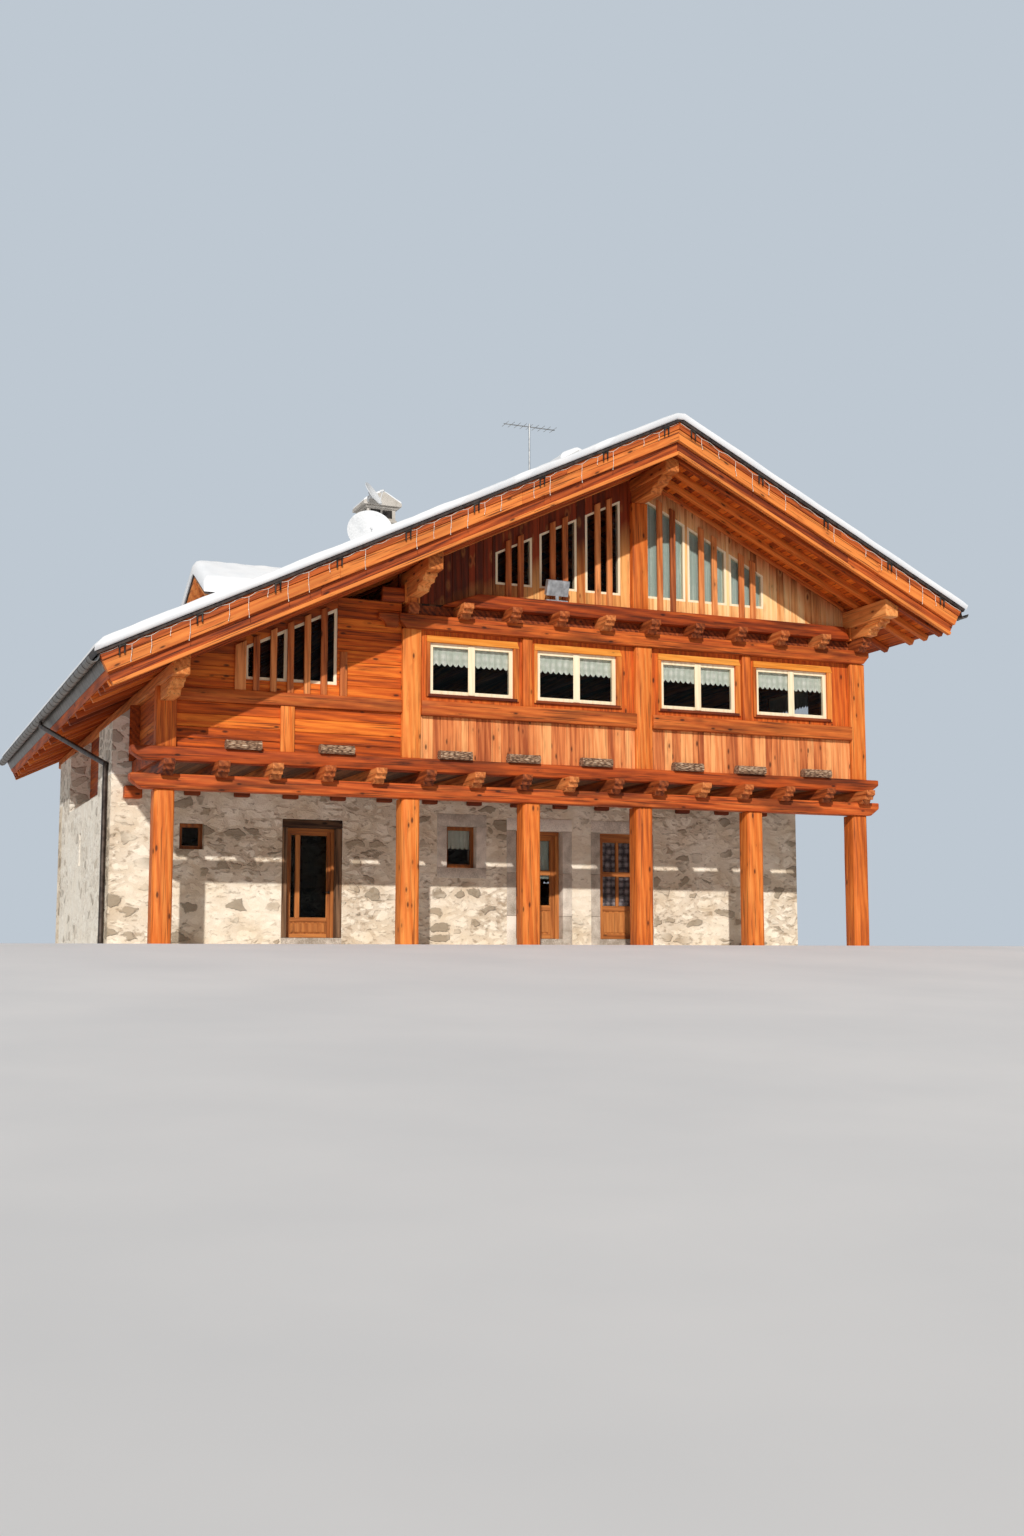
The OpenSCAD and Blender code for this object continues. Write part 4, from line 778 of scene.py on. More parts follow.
# Planks of the side walls
sides = Boards()
for back in ENDS:
    for low, high in pairs(steps(SILL_BEAM, WEST_TOP, 0.17, 0.23)):
        sides.block(-0.04 - random.uniform(0.0, 0.005), 0.08, SIDE_Y[0], STONE_Y, low + 0.001,
                    high - 0.001, back=back)
    sides.block(-0.24, -0.04, STONE_Y - 0.03, STONE_Y, SILL_BEAM, WEST_TOP, tone=0.1, back=back)
for low, high in pairs(steps(SIDE_FOOT, WEST_TOP, 0.17, 0.23)):
    sides.block(-0.12, 0.0, 4.2, 8.4, low + 0.001, high - 0.001)
between_windows = (SIDE_Y[0], *[y for window in SIDE_WINDOWS for y in window], SIDE_Y[1])
for low, high in pairs(steps(SIDE_FOOT, 6.665, 0.17, 0.24, (SILL, HEAD, 6.17, 6.39))):
    face = EAST_X + 0.12 + random.uniform(0.0, 0.006)
    inner = EAST_X + (0.1 if 6.1 < low < 6.38 else 0.0)
    spans = between_windows if SILL - 0.01 < low < HEAD - 0.01 else SIDE_Y
    for y0, y1 in zip(spans[::2], spans[1::2]):
        sides.block(inner, face, y0, y1, low + 0.001, high - 0.001)
sides.done("planks_of_sides", side_wood, "wall_boards", "side_walls")

# Stepped boards of the verges: inset, top and bottom under the roof's top face, and tone
EAVES = ((-1, -1.46), (1, 15.93))
# The low tone of the third, deepest-set board is painted shade of its recess.
VERGE_BOARDS = ((0.0, 0.13, 0.27, 0.35), (0.025, 0.27, 0.5, 0.75), (0.1, 0.5, 0.69, 0.22),
                (0.05, 0.69, 0.76, 0.9))
verge = Boards()
for side, eave in EAVES:
    end = (Vector((eave, 0.0, roof_z(eave))), Vector((side, 0.0, -PITCH)))
    for back in ENDS:
        for inset, top, bottom, tone in VERGE_BOARDS:
            for a, b in pairs(steps(*sorted((eave, RIDGE.x)), 3.4, 4.6)):
                verge.block(a, b, VERGE_Y + inset, VERGE_Y + 0.15, -bottom, -top, (end,), 0.006,
                            tone + random.uniform(-0.1, 0.1), back, side)
verge.done("boards_of_verges", verge_wood, "frame_timber", "verge_boards")

# Casings of the band windows: side boards, a head mitred at its east end and a dark moulding
casing = Boards()
for x in BAND_WINDOWS:
    x1 = x + WINDOW_W
    mitre = (Vector((x1 + 0.11, 0.0, HEAD)), Vector((1.0, 0.0, 0.35)))
    for back in ENDS:
        for a, b, face, low, high, bevel, kind, cuts in (
                (x - 0.07, x, 0.055, SILL - 0.055, HEAD, 0.006, 0, ()),
                (x1, x1 + 0.11, 0.055, SILL - 0.055, HEAD, 0.006, 0, ()),
                (x - 0.07, x1 + 0.11, 0.046, HEAD, HEAD + 0.125, 0.006, 1, (mitre,)),
                (x - 0.04, x1 + 0.08, 0.05, SILL - 0.06, SILL, 0.008, 2, ())):
            casing.block(a, b, face, BAND_Y, low, high, cuts, bevel, back=back, kind=kind)
casing.done("casing_boards", (casing_wood, head_wood, dark_and_shaded_wood), "wall_boards",
            "window_casings")

# Meeting stiles of the double windows, and the sashes behind the west bay's slats
sashes = Boards()
stile_z = (SILL + 0.012, HEAD - 0.012)
sash_head = flipped(over_window)
for back in ENDS:
    for x in BAND_WINDOWS:
        sashes.block(x + 0.78, x + 0.92, 0.104, 0.12, *stile_z, bevel=0.006, back=back)
    x0, x1 = BAY_WINDOW
    for a, b in ((x0, x0 + 0.055), (2.12, 2.19), (x1 - 0.06, x1)):
        sashes.block(a, b, 0.13, 0.16, BAY_SILL, BAY_TOP, (sash_head,), back=back)
    sashes.block(x0, x1, 0.125, 0.16, BAY_SILL, BAY_SILL + 0.06, back=back)
    sashes.block(x0, x1, 0.128, 0.16, BAY_SILL, BAY_TOP,
                 (sash_head, over_slope(-1, RAFTER_D + 0.21)), back=back)
for y, _ in SIDE_WINDOWS:
    sashes.block(EAST_X + 0.12, EAST_X + 0.134, y + 0.78, y + 0.92, *stile_z, bevel=0.005)
sashes.done("sashes_of_windows", cream, "cream_wood")

# Doors: west and east edge of the opening, its head, width of the frame and of the leaf's stiles
DOORS = {"west": (2.86, 3.855, 2.3, 0.045, 0.07), "middle": (7.68, 8.73, 2.38, 0.07, 0.095),
         "east": (9.59, 10.64, 2.38, 0.07, 0.095)}
# Panes: west and east edge, foot and head, as shares of the leaf inside its stiles and rails
PANES = {"west": ((0.0, 0.15, 0.16, 1.0), (0.25, 1.0, 0.16, 1.0)),
         "middle": ((0.0, 1.0, 0.3, 0.63), (0.0, 1.0, 0.67, 1.0)),
         "east": ((0.0, 0.47, 0.3, 0.63), (0.53, 1.0, 0.3, 0.63), (0.0, 0.47, 0.67, 1.0),
                  (0.53, 1.0, 0.67, 1.0))}
FLOOR, ROOM = 0.15, 0.008
# Faces, from the porch inwards: reveal of the frame, its stop, and the leaf's two
REVEAL, STOP, LEAF, LEAF_BACK = 2.7, 2.745, 2.753, 2.753 + 0.056

# Door frames: an old weathered frame round the west one, and slim larch frames
frames = Boards()
for x0, x1, top, width, stile in DOORS.values():
    for y0, y1, w in ((REVEAL, STOP, width + 0.015), (STOP, LEAF_BACK, width)):
        for a, b, low, high, kind in ((x0, x0 + w, FLOOR, top - w, 0),
                                      (x1 - w, x1, FLOOR, top - w, 0), (x0, x1, top - w, top, 1)):
            frames.block(a, b, y0, y1, low, high, bevel=0.003, kind=kind)
x0, x1, top = DOORS["west"][:3]
for a, b in ((x0 - 0.11, x0), (x1, x1 + 0.11)):
    frames.block(a, b, STONE_Y, LEAF_BACK, FLOOR, top, bevel=0.012, tone=0.35, kind=2)
frames.block(x0 - 0.11, x1 + 0.11, STONE_Y - 0.006, LEAF_BACK, top, top + 0.16, bevel=0.014,
             tone=0.2, kind=3)
frames.done("frames_of_doors", (door_wood, door_rail_wood, old_wood, old_head_wood), "door_wood",
            "door_frames")

# Door leaves: stiles, rails, glazing bars with beads, and a raised panel under the panes
y0, y1 = LEAF, LEAF_BACK
for name, (x0, x1, top, width, stile) in DOORS.items():
    leaf = Boards()
    a, b, low, high = x0 + width + ROOM, x1 - width - ROOM, FLOOR + ROOM, top - width - ROOM
    for c, d in ((a, a + stile), (b - stile, b)):
        leaf.block(c, d, y0, y1, low, high, bevel=0.003)
    west, east, foot = a + stile, b - stile, low + stile
    inner_w, inner_h = b - a - 2 * stile, high - low - 2 * stile
    places = [(west + p[0] * inner_w, west + p[1] * inner_w, foot + p[2] * inner_h,
               foot + p[3] * inner_h) for p in PANES[name]]
    bottom = min(p[2] for p in places)
    for c, d in ((high - stile, high), (low, foot), (bottom - stile, bottom)):
        leaf.block(west, east, y0, y1, c, d, bevel=0.003, kind=1)
    for gap, inset, bevel in ((0.0, 0.018, 0.0), (0.03, 0.006, 0.011)):
        leaf.block(west + gap, east - gap, y0 + inset, y1 - inset, foot + gap,
                   bottom - stile - gap, bevel=bevel)
    edges_x, edges_z = [sorted({round(v, 4) for p in places for v in p[i:i + 2]})
                        for i in (0, 2)]
    for c, d in zip(edges_z[1::2], edges_z[2::2]):
        leaf.block(west, east, y0, y1, c, d, bevel=0.003, kind=1)
    for c, d in zip(edges_x[1::2], edges_x[2::2]):
        for e, g in zip(edges_z[0::2], edges_z[1::2]):
            leaf.block(c, d, y0, y1, e, g, bevel=0.003, tone=0.9)
    for c, d, e, g in places:
        for y in (y0 + 0.006, y1 - 0.016):
            for u0, u1, w0, w1 in ((c, c + 0.01, e, g), (d - 0.01, d, e, g),
                                   (c, d, e, e + 0.01), (c, d, g - 0.01, g)):
                leaf.block(u0, u1, y, y + 0.01, w0, w1, bevel=0.0, tone=0.8)
    leaf.done("leaf_of_" + name + "_door", (door_wood, door_rail_wood), "door_wood",
              "door_leaf_" + name, body="door_" + name)

# Dressed granite: upright stones and lintels round two doorways and the window between them
stones = Boards()
blocks = []
for name in ("middle", "east"):
    x0, x1 = DOORS[name][:2]
    for low, high in ((0.0, 0.62), (0.62, 1.5), (1.5, 2.38)):
        blocks += [(a, b, 2.492, low + 0.002, high - 0.002)
                   for a, b in ((x0 - 0.21, x0), (x1, x1 + 0.21))]
    blocks.append((x0 - 0.21, x1 + 0.21, 2.486, 2.382, 2.63))
blocks += [(5.95, 7.02, 2.49, 1.37, 1.578), (5.95, 7.02, 2.49, 2.422, 2.67),
           (5.95, 6.16, 2.492, 1.58, 2.42), (6.8, 7.02, 2.492, 1.58, 2.42)]
for x0, x1, face, low, high in blocks:
    stones.block(x0, x1, face, 3.05, low, high, bevel=0.009, segments=2)
stones.done("granite_blocks", granite_grey, "granite", "stone_surrounds")

# Curtains: lace over the top of the band windows, voile in the gable and the doors
BAND_LACE_Z, LOW_LACE_Z = (5.26, 5.62), (1.66, 2.36)
BAND_LACE = {"folds": 14, "scallops": 14, "drop": 0.055}
LOW_LACE = {"scallops": 5, "drop": 0.05, "rests_on": "ground_windows"}


def curtain(name, x0, x1, z0, z1, y, finish, folds, depth=0.007, scallops=0, drop=0.0,
            rise=0.0, back=False, side=False, body="house", rests_on="upper_windows"):
    """A sheet hung in shallow folds. rise is the slope of its top edge; side hangs it in the east
    wall, where x is y."""
    bm = grid(max(24, folds * 8), 6)
    for vert in bm.verts:
        u, v = vert.co.x + 0.5, vert.co.y + 0.5
        scallop = drop * (1.0 - abs(math.sin(math.pi * scallops * u))) if scallops else 0.0
        low = z0 + scallop
        high = z1 + rise * u * (x1 - x0)
        fold = depth * math.cos(2.0 * math.pi * folds * u + math.sin(9.0 * u)) * (1.0 - 0.45 * v)
        place = [x0 + u * (x1 - x0), y + fold, low + v * (high - low)]
        if back:
            place[1] = DEPTH - place[1]
        if side:
            place = [place[1], place[0], place[2]]
        vert.co = place
    area = sum(face.calc_area() for face in bm.faces)
    obj = piece(name, bm, finish, body=body, sharp=180.0)


for index, x in enumerate(BAND_WINDOWS, 1):
    for back in ENDS:
        curtain("lace_of_%s_window_%d" % ("back" if back else "front", index), x + 0.05,
                x + WINDOW_W - 0.05, *BAND_LACE_Z, BAND_Y + 0.1, lace, back=back, **BAND_LACE)
for index, (y0, y1) in enumerate(SIDE_WINDOWS, 1):
    curtain("lace_of_side_window_%d" % index, y0 + 0.05, y1 - 0.05, *BAND_LACE_Z, EAST_X + 0.04,
            lace, side=True, **BAND_LACE)
curtain("lace_of_kitchen_window", 6.22, 6.74, 1.96, 2.36, 2.735, lace, folds=5, **LOW_LACE)
for wall, places, y in (("low_back", (2.6, 7.0, 11.4), 2.735), ("east", (4.3, 7.8), 14.165)):
    for index, x in enumerate(places, 1):
        curtain("lace_of_%s_window_%d" % (wall, index), x + 0.06, x + 0.58, *LOW_LACE_Z, y, lace,
                folds=6, back=wall != "east", side=wall == "east", **LOW_LACE)
for index, (x0, x1) in enumerate(GABLE_WINDOWS[3:], 1):
    for back in ENDS:
        curtain("voile_of_%s_gable_%d" % ("back" if back else "front", index), x0 + 0.03,
                x1 - 0.03, 6.98, roof_z(x0 + 0.03) - RAFTER_D - 0.36, 0.345, voile, folds=6,
                depth=0.008, rise=-PITCH, rests_on="gable_windows", back=back)
for kind, name, x, low, finish in (("voile", "middle", 7.86, 1.4, voile),
                                   ("lace", "east", 9.77, 0.86, door_lace)):
    curtain("%s_of_%s_door" % (kind, name), x, x + 0.69, low, 2.19, LEAF_BACK + 0.012, finish, 6,
            depth=0.004, body="door_" + name, rests_on="leaf_of_%s_door" % name)

# Snow lying on both slopes, hanging over the verges in a rounded lip
SNOW_X = (-1.5, 15.97)
SNOW_Y = (-1.64, DEPTH + 1.64)
ACROSS, ALONG = 118, 110
# Rows of the lip, from its edge inwards: inset and height of the foot, then swell and reach of
# the top
LIP_FOOT = ((-0.014, -0.07), (-0.014, 0.0), (0.03, 0.0), (0.1, 0.0), (0.22, 0.0))
LIP_TOP = ((-0.05, 0.035), (0.62, 0.05), (0.94, 0.04), (1.0, 0.02), (1.0, 0.0))


def snow_depth(x):
    """Thin on the east slope, and deeper down the west one."""
    west = 0.035 / (1.0 + math.exp((x - RIDGE.x) * 1.6))
    return 0.045 + west + 0.035 * min(1.0, max(0.0, (5.0 - x) / 5.0))


def doubled(bm):
    """Closes a sheet with a copy of itself, and gives the copy's points."""
    made = bmesh.ops.extrude_face_region(bm, geom=bm.faces[:])
    return [g for g in made["geom"] if isinstance(g, bmesh.types.BMVert)]


def lie(name, bm):
    """Makes a piece of a closed sheet of snow."""
    bmesh.ops.recalc_face_normals(bm, faces=bm.faces)
    piece(name, bm, snow, sharp=75.0)


bm = grid(ACROSS, ALONG)
order = bm.verts.layers.int.new("order")
start, end = SNOW_Y[0] + LIP_FOOT[-1][0], SNOW_Y[1] - LIP_FOOT[-1][0]
spots = []
for vert in bm.verts:
    row = round((vert.co.y + 0.5) * ALONG)
    near = min(row, ALONG - row)
    sign = 1 if row < ALONG / 2 else -1
    x = SNOW_X[0] + (vert.co.x + 0.5) * (SNOW_X[1] - SNOW_X[0])
    y, under = start + (row - 4) / (ALONG - 8) * (end - start), 0.0
    if near < len(LIP_FOOT):
        inset, under = LIP_FOOT[near]
        y = (SNOW_Y[0] if sign > 0 else SNOW_Y[1]) + sign * inset
    vert.co = (x, y, roof_z(x) + 0.004 + under)
    vert[order] = len(spots)
    spots.append((near, sign, x))
for vert in doubled(bm):
    near, sign, x = spots[vert[order]]
    lumps = 1.0 + 0.28 * noise.noise(vert.co * 1.1) + 0.16 * noise.noise(vert.co * 3.7)
    depth = snow_depth(x) * lumps
    eave = min(1.0, 0.35 + min(x - SNOW_X[0], SNOW_X[1] - x) / 0.25)
    if near < len(LIP_TOP):
        swell, reach = LIP_TOP[near]
        vert.co.z = roof_z(x) + 0.004 + swell * (depth if near else 1.0) * eave
        vert.co.y -= sign * reach * lumps
    else:
        vert.co.z += depth * eave
lie("snow_on_roof", bm)


def blanket(name, x0, x1, y0, y1, ground, depth, cuts=(), lumpy=1.0):
    """Snow with rounded edges over a ground given as a height at x and y."""
    bm = grid(*[max(12, int(length / 0.07)) for length in (x1 - x0, y1 - y0)])
    for vert in bm.verts:
        x, y = x0 + (vert.co.x + 0.5) * (x1 - x0), y0 + (vert.co.y + 0.5) * (y1 - y0)
        vert.co = (x, y, ground(x, y) + 0.002)
    for vert in doubled(bm):
        x, y, z = vert.co
        near = min(x - x0, x1 - x, y - y0, y1 - y) / (0.5 * depth)
        round_off = math.sqrt(max(0.0, 1.0 - (1.0 - min(1.0, near + 0.12)) ** 2))
        lump = 1.0 + lumpy * (0.25 * noise.noise(vert.co * 2.3) + 0.12 * noise.noise(
            vert.co * 6.0))
        vert.co.z = z + depth * (0.22 + 0.78 * round_off) * lump
    for point, outward in cuts:
        cut_off(bm, point, outward)
    lie(name, bm)


# Dormer: boarded front with a small window, roof boards, sheet and thick snow
DORMER_X, DORMER_Y, DORMER_WALL, DORMER_RISE = 1.5, (3.2, 4.7), 0.7, 0.4
DORMER_MID = sum(DORMER_Y) / 2
DORMER_PITCH = DORMER_RISE / (DORMER_Y[1] - DORMER_MID)
DORMER_TOP = roof_z(DORMER_X) + DORMER_WALL + DORMER_RISE
roof_line = over_slope(-1, 0.03)


def dormer_plane(side, lift):
    """Plane of the dormer's south (-1) or north (1) slope, lift above its walls' top."""
    return (Vector((0.0, DORMER_MID, DORMER_TOP + lift)), Vector((0.0, side * DORMER_PITCH, 1.0)))


dormer = Boards()
for a, b in pairs(steps(*DORMER_Y, 0.11, 0.16, marks=(3.62, DORMER_MID, 4.28))):
    top = dormer_plane(-1 if (a + b) / 2 < DORMER_MID else 1, 0.0)
    spans = ((6.2, 7.5, (top, roof_line)),)
    if a > 3.6 and b < 4.3:
        spans = ((6.2, 6.5, (roof_line,)), (6.98, 7.5, (top,)))
    for low, high, cuts in spans:
        dormer.block(DORMER_X - 0.03, DORMER_X, a + 0.001, b - 0.001, low, high, cuts)
for side, a, b in ((-1, DORMER_Y[0] - 0.03, DORMER_Y[0] + 0.1),
                   (1, DORMER_Y[1] - 0.1, DORMER_Y[1] + 0.03)):
    dormer.block(DORMER_X - 0.06, DORMER_X + 0.05, a, b, 6.2, 7.4,
                 (dormer_plane(side, 0.0), roof_line), tone=0.95)
for low in steps(6.2, 7.0, 0.15, 0.2)[:-1]:
    for side, a, b in ((-1, DORMER_Y[0] - 0.02, DORMER_Y[0]), (1, DORMER_Y[1], DORMER_Y[1] + 0.02)):
        dormer.block(DORMER_X + 0.05, 3.2, a, b, low, low + 0.16,
                     (roof_line, dormer_plane(side, 0.0)), kind=1)
for a, b, low, high in ((3.57, 4.33, 6.46, 6.52), (3.57, 4.33, 6.93, 7.0),
                        (3.57, 3.63, 6.52, 6.93), (4.27, 4.33, 6.52, 6.93),
                        (3.93, 3.97, 6.52, 6.93)):
    dormer.block(DORMER_X - 0.055, DORMER_X, a, b, low, high, kind=2)
# The pane, opaque and dark, paints the shaded room behind it.
dormer.block(DORMER_X - 0.02, DORMER_X, 3.63, 4.27, 6.52, 6.93, kind=3, bevel=0.0)
for front, far, reach, low, high, kind in ((0.28, 4.3, 1.16, 0.0, 0.1, 1),
                                           (0.31, 4.35, 1.2, 0.101, 0.13, 4)):
    for side in (-1, 1):
        middle = (Vector((0.0, DORMER_MID, 0.0)), Vector((0.0, -side, 0.0)))
        a, b = sorted((DORMER_MID, DORMER_MID + side * reach))
        dormer.block(DORMER_X - front, far, a, b, 6.0, 9.0, kind=kind,
                     cuts=(dormer_plane(side, high), flipped(dormer_plane(side, low)), middle,
                           roof_line))
dormer.done("boards_of_dormer", (gable_wood, purlin_wood, cream, dormer_pane_painted_dark, sheet_dark),
            "wall_boards")
blanket("snow_of_dormer", DORMER_X - 0.33, 4.95, DORMER_MID - 1.2, DORMER_MID + 1.2,
        lambda x, y: DORMER_TOP + 0.151 - DORMER_PITCH * math.sqrt((y - DORMER_MID) ** 2 + 0.004),
        0.3, (over_slope(-1, 0.0),), lumpy=0.3)

# Chimneys: bands under the caps, dark vents, snow on the caps
CHIMNEY_W, CAP_OVER = 0.65, 0.11
vents = Boards()
for index, (x, y, top, depth) in enumerate(((5.18, 5.0, RIDGE.z - 0.5, 0.055),
                                            (9.6, 4.3, RIDGE.z + 0.75, 0.13)), 1):
    far_x, far_y = x + CHIMNEY_W, y + CHIMNEY_W
    for over, low, high, bevel in ((0.03, 0.36, 0.3, 0.01), (0.05, 0.05, 0.002, 0.012)):
        vents.block(x - over, far_x + over, y - over, far_y + over, top - low, top - high,
                    bevel=bevel)
    for c, d in ((0.08, 0.3), (0.35, 0.57)):
        for e, g in ((y - 0.006, y), (far_y, far_y + 0.006)):
            vents.block(x + c, x + d, e, g, top - 0.26, top - 0.08, bevel=0.0, kind=1)
        for e, g in ((x - 0.006, x), (far_x, far_x + 0.006)):
            vents.block(e, g, y + c, y + d, top - 0.26, top - 0.08, bevel=0.0, kind=1)
    over = CAP_OVER - 0.01
    middle = x + CHIMNEY_W / 2
    slope = 0.25 / (CHIMNEY_W / 2 + CAP_OVER)
    blanket("snow_of_chimney_%d" % index, x - over, far_x + over, y - over, far_y + over,
            lambda u, v: top + 0.32 - slope * math.sqrt((u - middle) ** 2 + 0.002), depth)
vents.done("bands_of_chimneys", (render_grey, iron), "chimney_render")


def rod(bm, start, end, r0, r1):
    """A round bar between two points."""
    line = end - start
    turn = line.to_track_quat("Z", "Y").to_matrix().to_4x4()
    bmesh.ops.create_cone(bm, cap_ends=True, segments=12, radius1=r0, radius2=r1,
                          depth=line.length, matrix=Matrix.Translation((start + end) / 2) @ turn)


def dish(name, middle, facing, radius, feet, replaces=()):
    """A pressed dish with a rolled rim, a plate behind it, and its arm and receiver. feet are the
    points of the bent bar that carries it."""
    deep = radius * 0.2
    bm = bmesh.new()
    profile = [(radius * i / 9, deep * (i / 9) ** 2) for i in range(10)]
    profile += [(radius + 0.009, deep + 0.002), (radius + 0.007, deep - 0.012)]
    profile += [(r, z - 0.009) for r, z in profile[9::-1]]
    outline = [bm.verts.new((r, 0.0, z)) for r, z in profile]
    for one, two in pairs(outline):
        bm.edges.new((one, two))
    bmesh.ops.spin(bm, geom=bm.verts[:] + bm.edges[:], cent=(0, 0, 0), axis=(0, 0, 1),
                   dvec=(0, 0, 0), angle=2.0 * math.pi, steps=48, use_merge=True)
    bmesh.ops.remove_doubles(bm, verts=bm.verts, dist=0.0005)
    focus = Vector((0.0, -radius * 0.3, radius * 0.92))
    rod(bm, Vector((0.0, -radius * 0.96, deep * 0.9)), focus, 0.011, 0.009)
    rod(bm, focus + Vector((0.0, -0.01, 0.03)), focus + Vector((0.0, 0.025, -0.05)), 0.026, 0.033)
    plate = bmesh.ops.create_cube(bm, size=1.0)["verts"]
    bmesh.ops.scale(bm, verts=plate, vec=(radius * 0.36, radius * 0.5, 0.04))
    bmesh.ops.translate(bm, verts=plate, vec=(0.0, 0.0, -0.018))
    turn = Vector(facing).to_track_quat("Z", "Y").to_matrix().to_4x4()
    bmesh.ops.transform(bm, verts=bm.verts, matrix=Matrix.Translation(middle) @ turn)
    for one, two in pairs(feet):
        rod(bm, Vector(one), Vector(two), 0.022, 0.022)
    bmesh.ops.recalc_face_normals(bm, faces=bm.faces)
    piece(name, bm, dish_white, replaces, sharp=40.0)


# The large dish stands on the slope, the small one is held by the west chimney's cap
dish("dish_on_mast", (4.62, 3.0, 8.475), (-0.2, -0.94, 0.26), 0.465,
     ((4.63, 3.02, 8.47), (4.65, 3.13, 8.44), (4.65, 3.13, roof_z(4.65) - 0.1)),
     ("satellite_dish",))
dish("dish_of_chimney", (5.16, 4.62, 9.77), (0.644, -0.571, 0.51), 0.28,
     ((5.15, 4.64, 9.75), (5.13, 4.75, 9.72), (5.17, 4.97, 9.7)))

# Sheet edge of the west and east eaves behind the gutters
edges_of_eaves = Boards()
for side, x in EAVES:
    foot = Vector((x, 0.0, roof_z(x)))
    out = Vector((side, 0.0, -PITCH)).normalized()
    for a, b in pairs(steps(-1.44, DEPTH + 1.44, 2.0, 2.1)):
        edges_of_eaves.block(x - 0.4, x + 0.4, a, b, -0.44, -0.135, side=side, bevel=0.002,
                             cuts=((foot + out * 0.012, out), (foot - out * 0.002, -out)))
edges_of_eaves.done("sheet_of_eaves", zinc, "zinc")

# Small iron clamps over the top board of the verges
CLAMPS = {-1: (-1.05, 0.22, 1.55, 2.64, 3.9, 5.2, 6.5, 7.8, 9.1),
          1: (9.68, 11.17, 12.65, 14.14, 15.4)}
clamps = Boards()
for side, places in CLAMPS.items():
    for x in places:
        for back in ENDS:
            clamps.block(x - 0.06, x + 0.06, VERGE_Y - 0.03, VERGE_Y - 0.012, -0.166, -0.13,
                         back=back, side=side)
            for a in (x - 0.055, x + 0.03):
                clamps.block(a, a + 0.025, VERGE_Y - 0.028, VERGE_Y, -0.3, -0.166, back=back,
                             side=side)
clamps.done("clamps_of_verges", iron, "fittings_metal", sharp=40.0)

# Strings of small lights: one along each front verge, held by the clamps, with hanging drops
STRING_Y, STRING_D, STRING_R, DROP_R = VERGE_Y - 0.006, 0.148, 0.0045, 0.004
MOST_DROPS = 38


def cord(name, points, radius, bulbs=None):
    line = bpy.data.curves.new(name, "CURVE")
    line.dimensions = "3D"
    line.bevel_depth = radius
    line.bevel_resolution = 1
    line.use_fill_caps = True
    spline = line.splines.new("POLY")
    spline.points.add(len(points) - 1)
    for spot, place in zip(spline.points, points):
        spot.co = (*(place + PLAN), 1.0)
    line.materials.append(cable)
    obj = show(name, line)
    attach(obj, "house")
    pieces = []
    if bulbs:
        pieces = [piece("bulbs_of_" + name, bulbs, bulb_glass, sharp=50.0)]


def bulb(bm, top):
    """A small light, pointed at its lower end, that hangs from a point."""
    made = bmesh.ops.create_uvsphere(bm, u_segments=7, v_segments=5, radius=0.008)["verts"]
    for vert in made:
        taper = 1.0 + 35.0 * min(0.0, vert.co.z)
        vert.co = (vert.co.x * taper, vert.co.y * taper, vert.co.z * 1.5)
    bmesh.ops.translate(bm, verts=made, vec=top - Vector((0.0, 0.0, 0.01)))


drops = 0
for side, places in CLAMPS.items():
    ends = [-1.4, *places, 9.37] if side < 0 else [15.86, *places[::-1], 9.41]
    line = []
    lows = []
    for a, b in pairs(ends):
        swags = max(1, round(abs(b - a) / 0.34))
        for swag in range(swags):
            sag = 0.008 if swags == 1 else random.uniform(0.02, 0.045)
            for i in range(6):
                t = i / 6
                x = a + (b - a) * (swag + t) / swags
                depth = STRING_D + sag * math.sin(math.pi * t) ** 2
                line.append(Vector((x, STRING_Y, roof_z(x) - depth)))
                if i == 3 and swags > 1:
                    lows.append(line[-1])
    line.append(Vector((ends[-1], STRING_Y, roof_z(ends[-1]) - STRING_D)))
    cord("string_of_%s_verge" % ("west" if side < 0 else "east"), line, STRING_R)
    for low in lows:
        if random.random() < 0.15 or drops == MOST_DROPS:
            continue
        drops += 1
        length = random.choice((0.13, 0.2, 0.28, 0.34))
        phase = random.uniform(0.0, 6.0)
        points = [low + Vector((0.012 * t / 8 * math.sin(phase + 5.0 * t / 8), 0.0,
                                -length * t / 8)) for t in range(9)]
        lights = bmesh.new()
        for t in (2, 5, 8) if length > 0.2 else (4, 8):
            bulb(lights, points[t])
        cord("drop_%d" % drops, points, DROP_R, lights)

# Boards that close the slit window in the west wall
slit = Boards()
for y0, y1, high in ((6.45, 6.57, 2.3), (6.575, 6.7, 2.36)):
    slit.block(-0.47, -0.42, y0, y1, 1.68, high, bevel=0.01)
slit.done("boards_of_slit", old_wood, "door_wood")

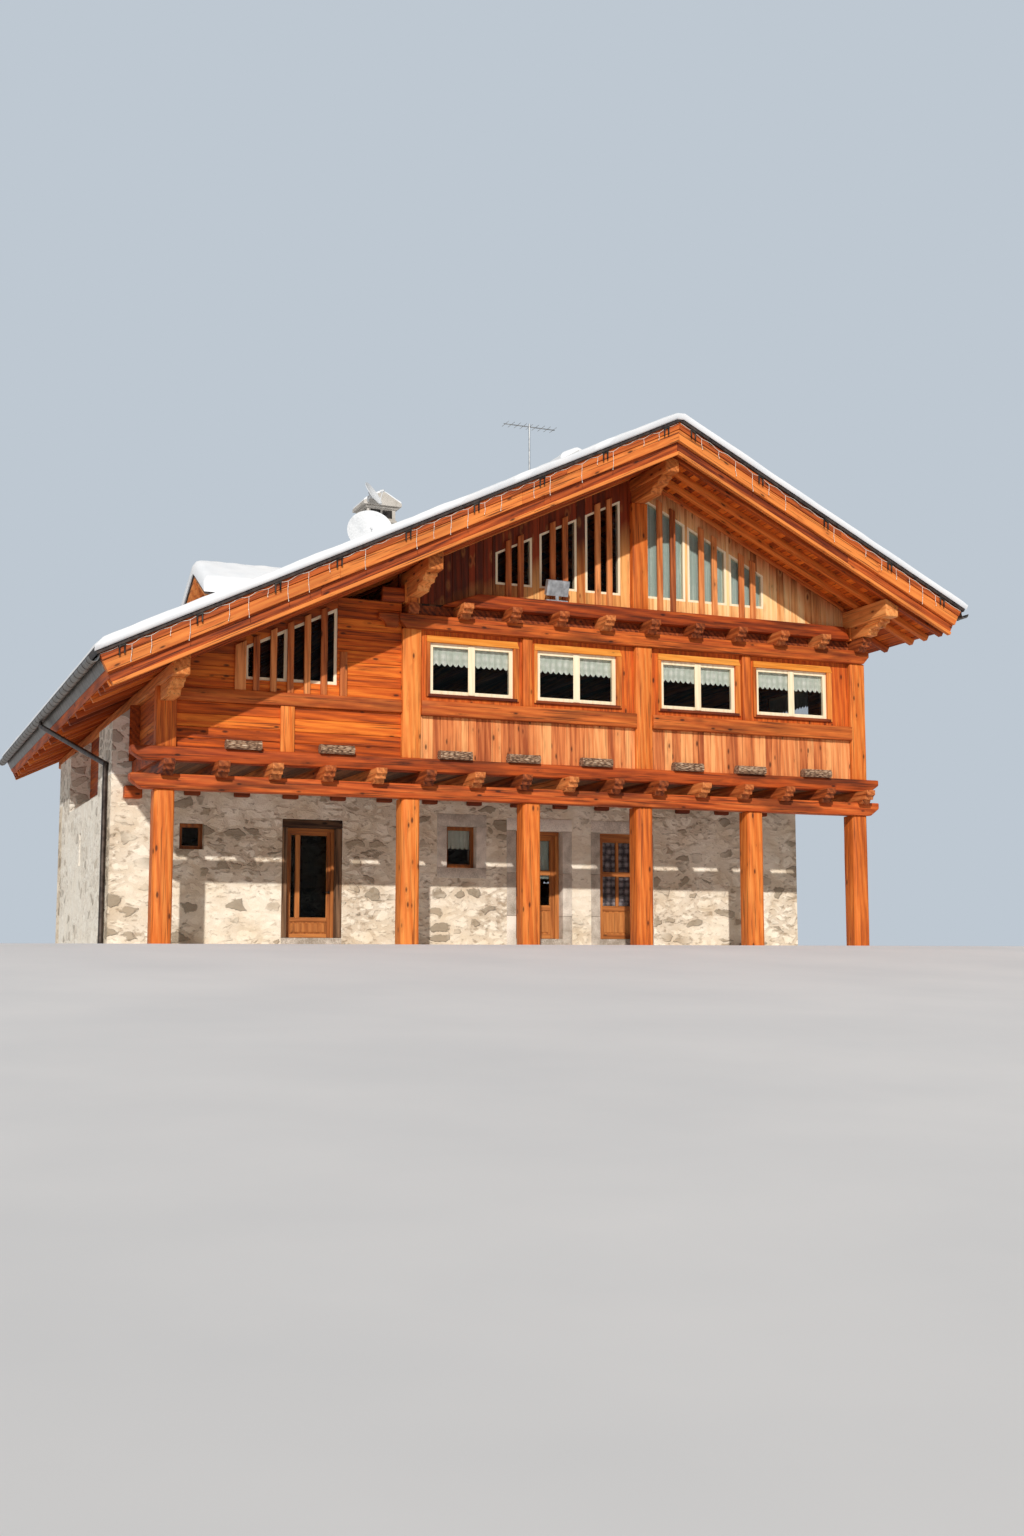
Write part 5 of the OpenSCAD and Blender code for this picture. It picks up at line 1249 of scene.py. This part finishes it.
# Straps of the gutters
GUTTER_R, STRAP_W, STRAP_T = 0.091, 0.028, 0.005
straps = Boards()
for gutter_x, gutter_z in ((-1.4996, 4.6735), (15.9696, 6.7854)):
    for y in steps(-1.35, DEPTH + 1.35, 0.48, 0.52):
        part = bmesh.new()
        ring = [part.verts.new((gutter_x - GUTTER_R - dx, y + dy, gutter_z))
                for dx, dy in ((0.0, 0.0), (STRAP_T, 0.0), (STRAP_T, STRAP_W), (0.0, STRAP_W))]
        part.faces.new(ring)
        bmesh.ops.spin(part, geom=whole(part), cent=(gutter_x, y, gutter_z), axis=(0.0, 1.0, 0.0),
                       dvec=(0, 0, 0), angle=-math.pi, steps=10, use_merge=False,
                       use_duplicate=False)
        bmesh.ops.recalc_face_normals(part, faces=part.faces)
        straps.take(part, 0.5)
straps.done("straps_of_gutters", pipe_metal, "zinc")

# Floor: level under the house and behind it, falling away in front of it
bm = grid(40, 160)
bmesh.ops.scale(bm, verts=bm.verts, vec=(260.0, 260.0, 1.0))
for vert in bm.verts:
    fall = max(0.0, -8.7 - vert.co.y)
    vert.co.z = -0.002 - 0.072 * min(fall, 40.0)
mesh = bpy.data.meshes.new("floor")
bm.to_mesh(mesh)
bm.free()
f = Finish("floor", 0.8)
f.shade(f.noise(f.space, 0.35, 4.0), 0.3, (222, 224, 227), 0.7, (232, 233, 235))
mesh.materials.append(f.material)
show("floor", mesh)

# Light: one soft lamp from the front left, and an even pale surround
sun = bpy.data.lights.new("key", "SUN")
sun.energy = 3.1
sun.angle = math.radians(0.8)
sun.color = (1.0, 0.97, 0.93)
towards = Vector((-0.357, -0.803, 0.477))
show("key", sun).rotation_euler = towards.to_track_quat("Z", "Y").to_euler()

world = bpy.data.worlds.new("surround")
bpy.context.scene.world = world
world.use_nodes = True
world.node_tree.nodes.clear()
s = Nodes(world.node_tree)
rays = s.add("LightPath").outputs
seen = s.maths("MAXIMUM", rays["Is Camera Ray"], rays["Is Glossy Ray"])
fill = s.add("Background", {"Color": (1.0, 0.965, 0.93, 1.0), "Strength": 0.25})
backdrop = s.add("Background", {"Color": screen(190, 200, 210), "Strength": 1.0})
seen = s.maths("MAXIMUM", seen, rays["Is Transmission Ray"])
blend = s.add("MixShader", {0: seen, 1: fill.outputs[0], 2: backdrop.outputs[0]})
s.add("OutputWorld", {"Surface": blend.outputs[0]})
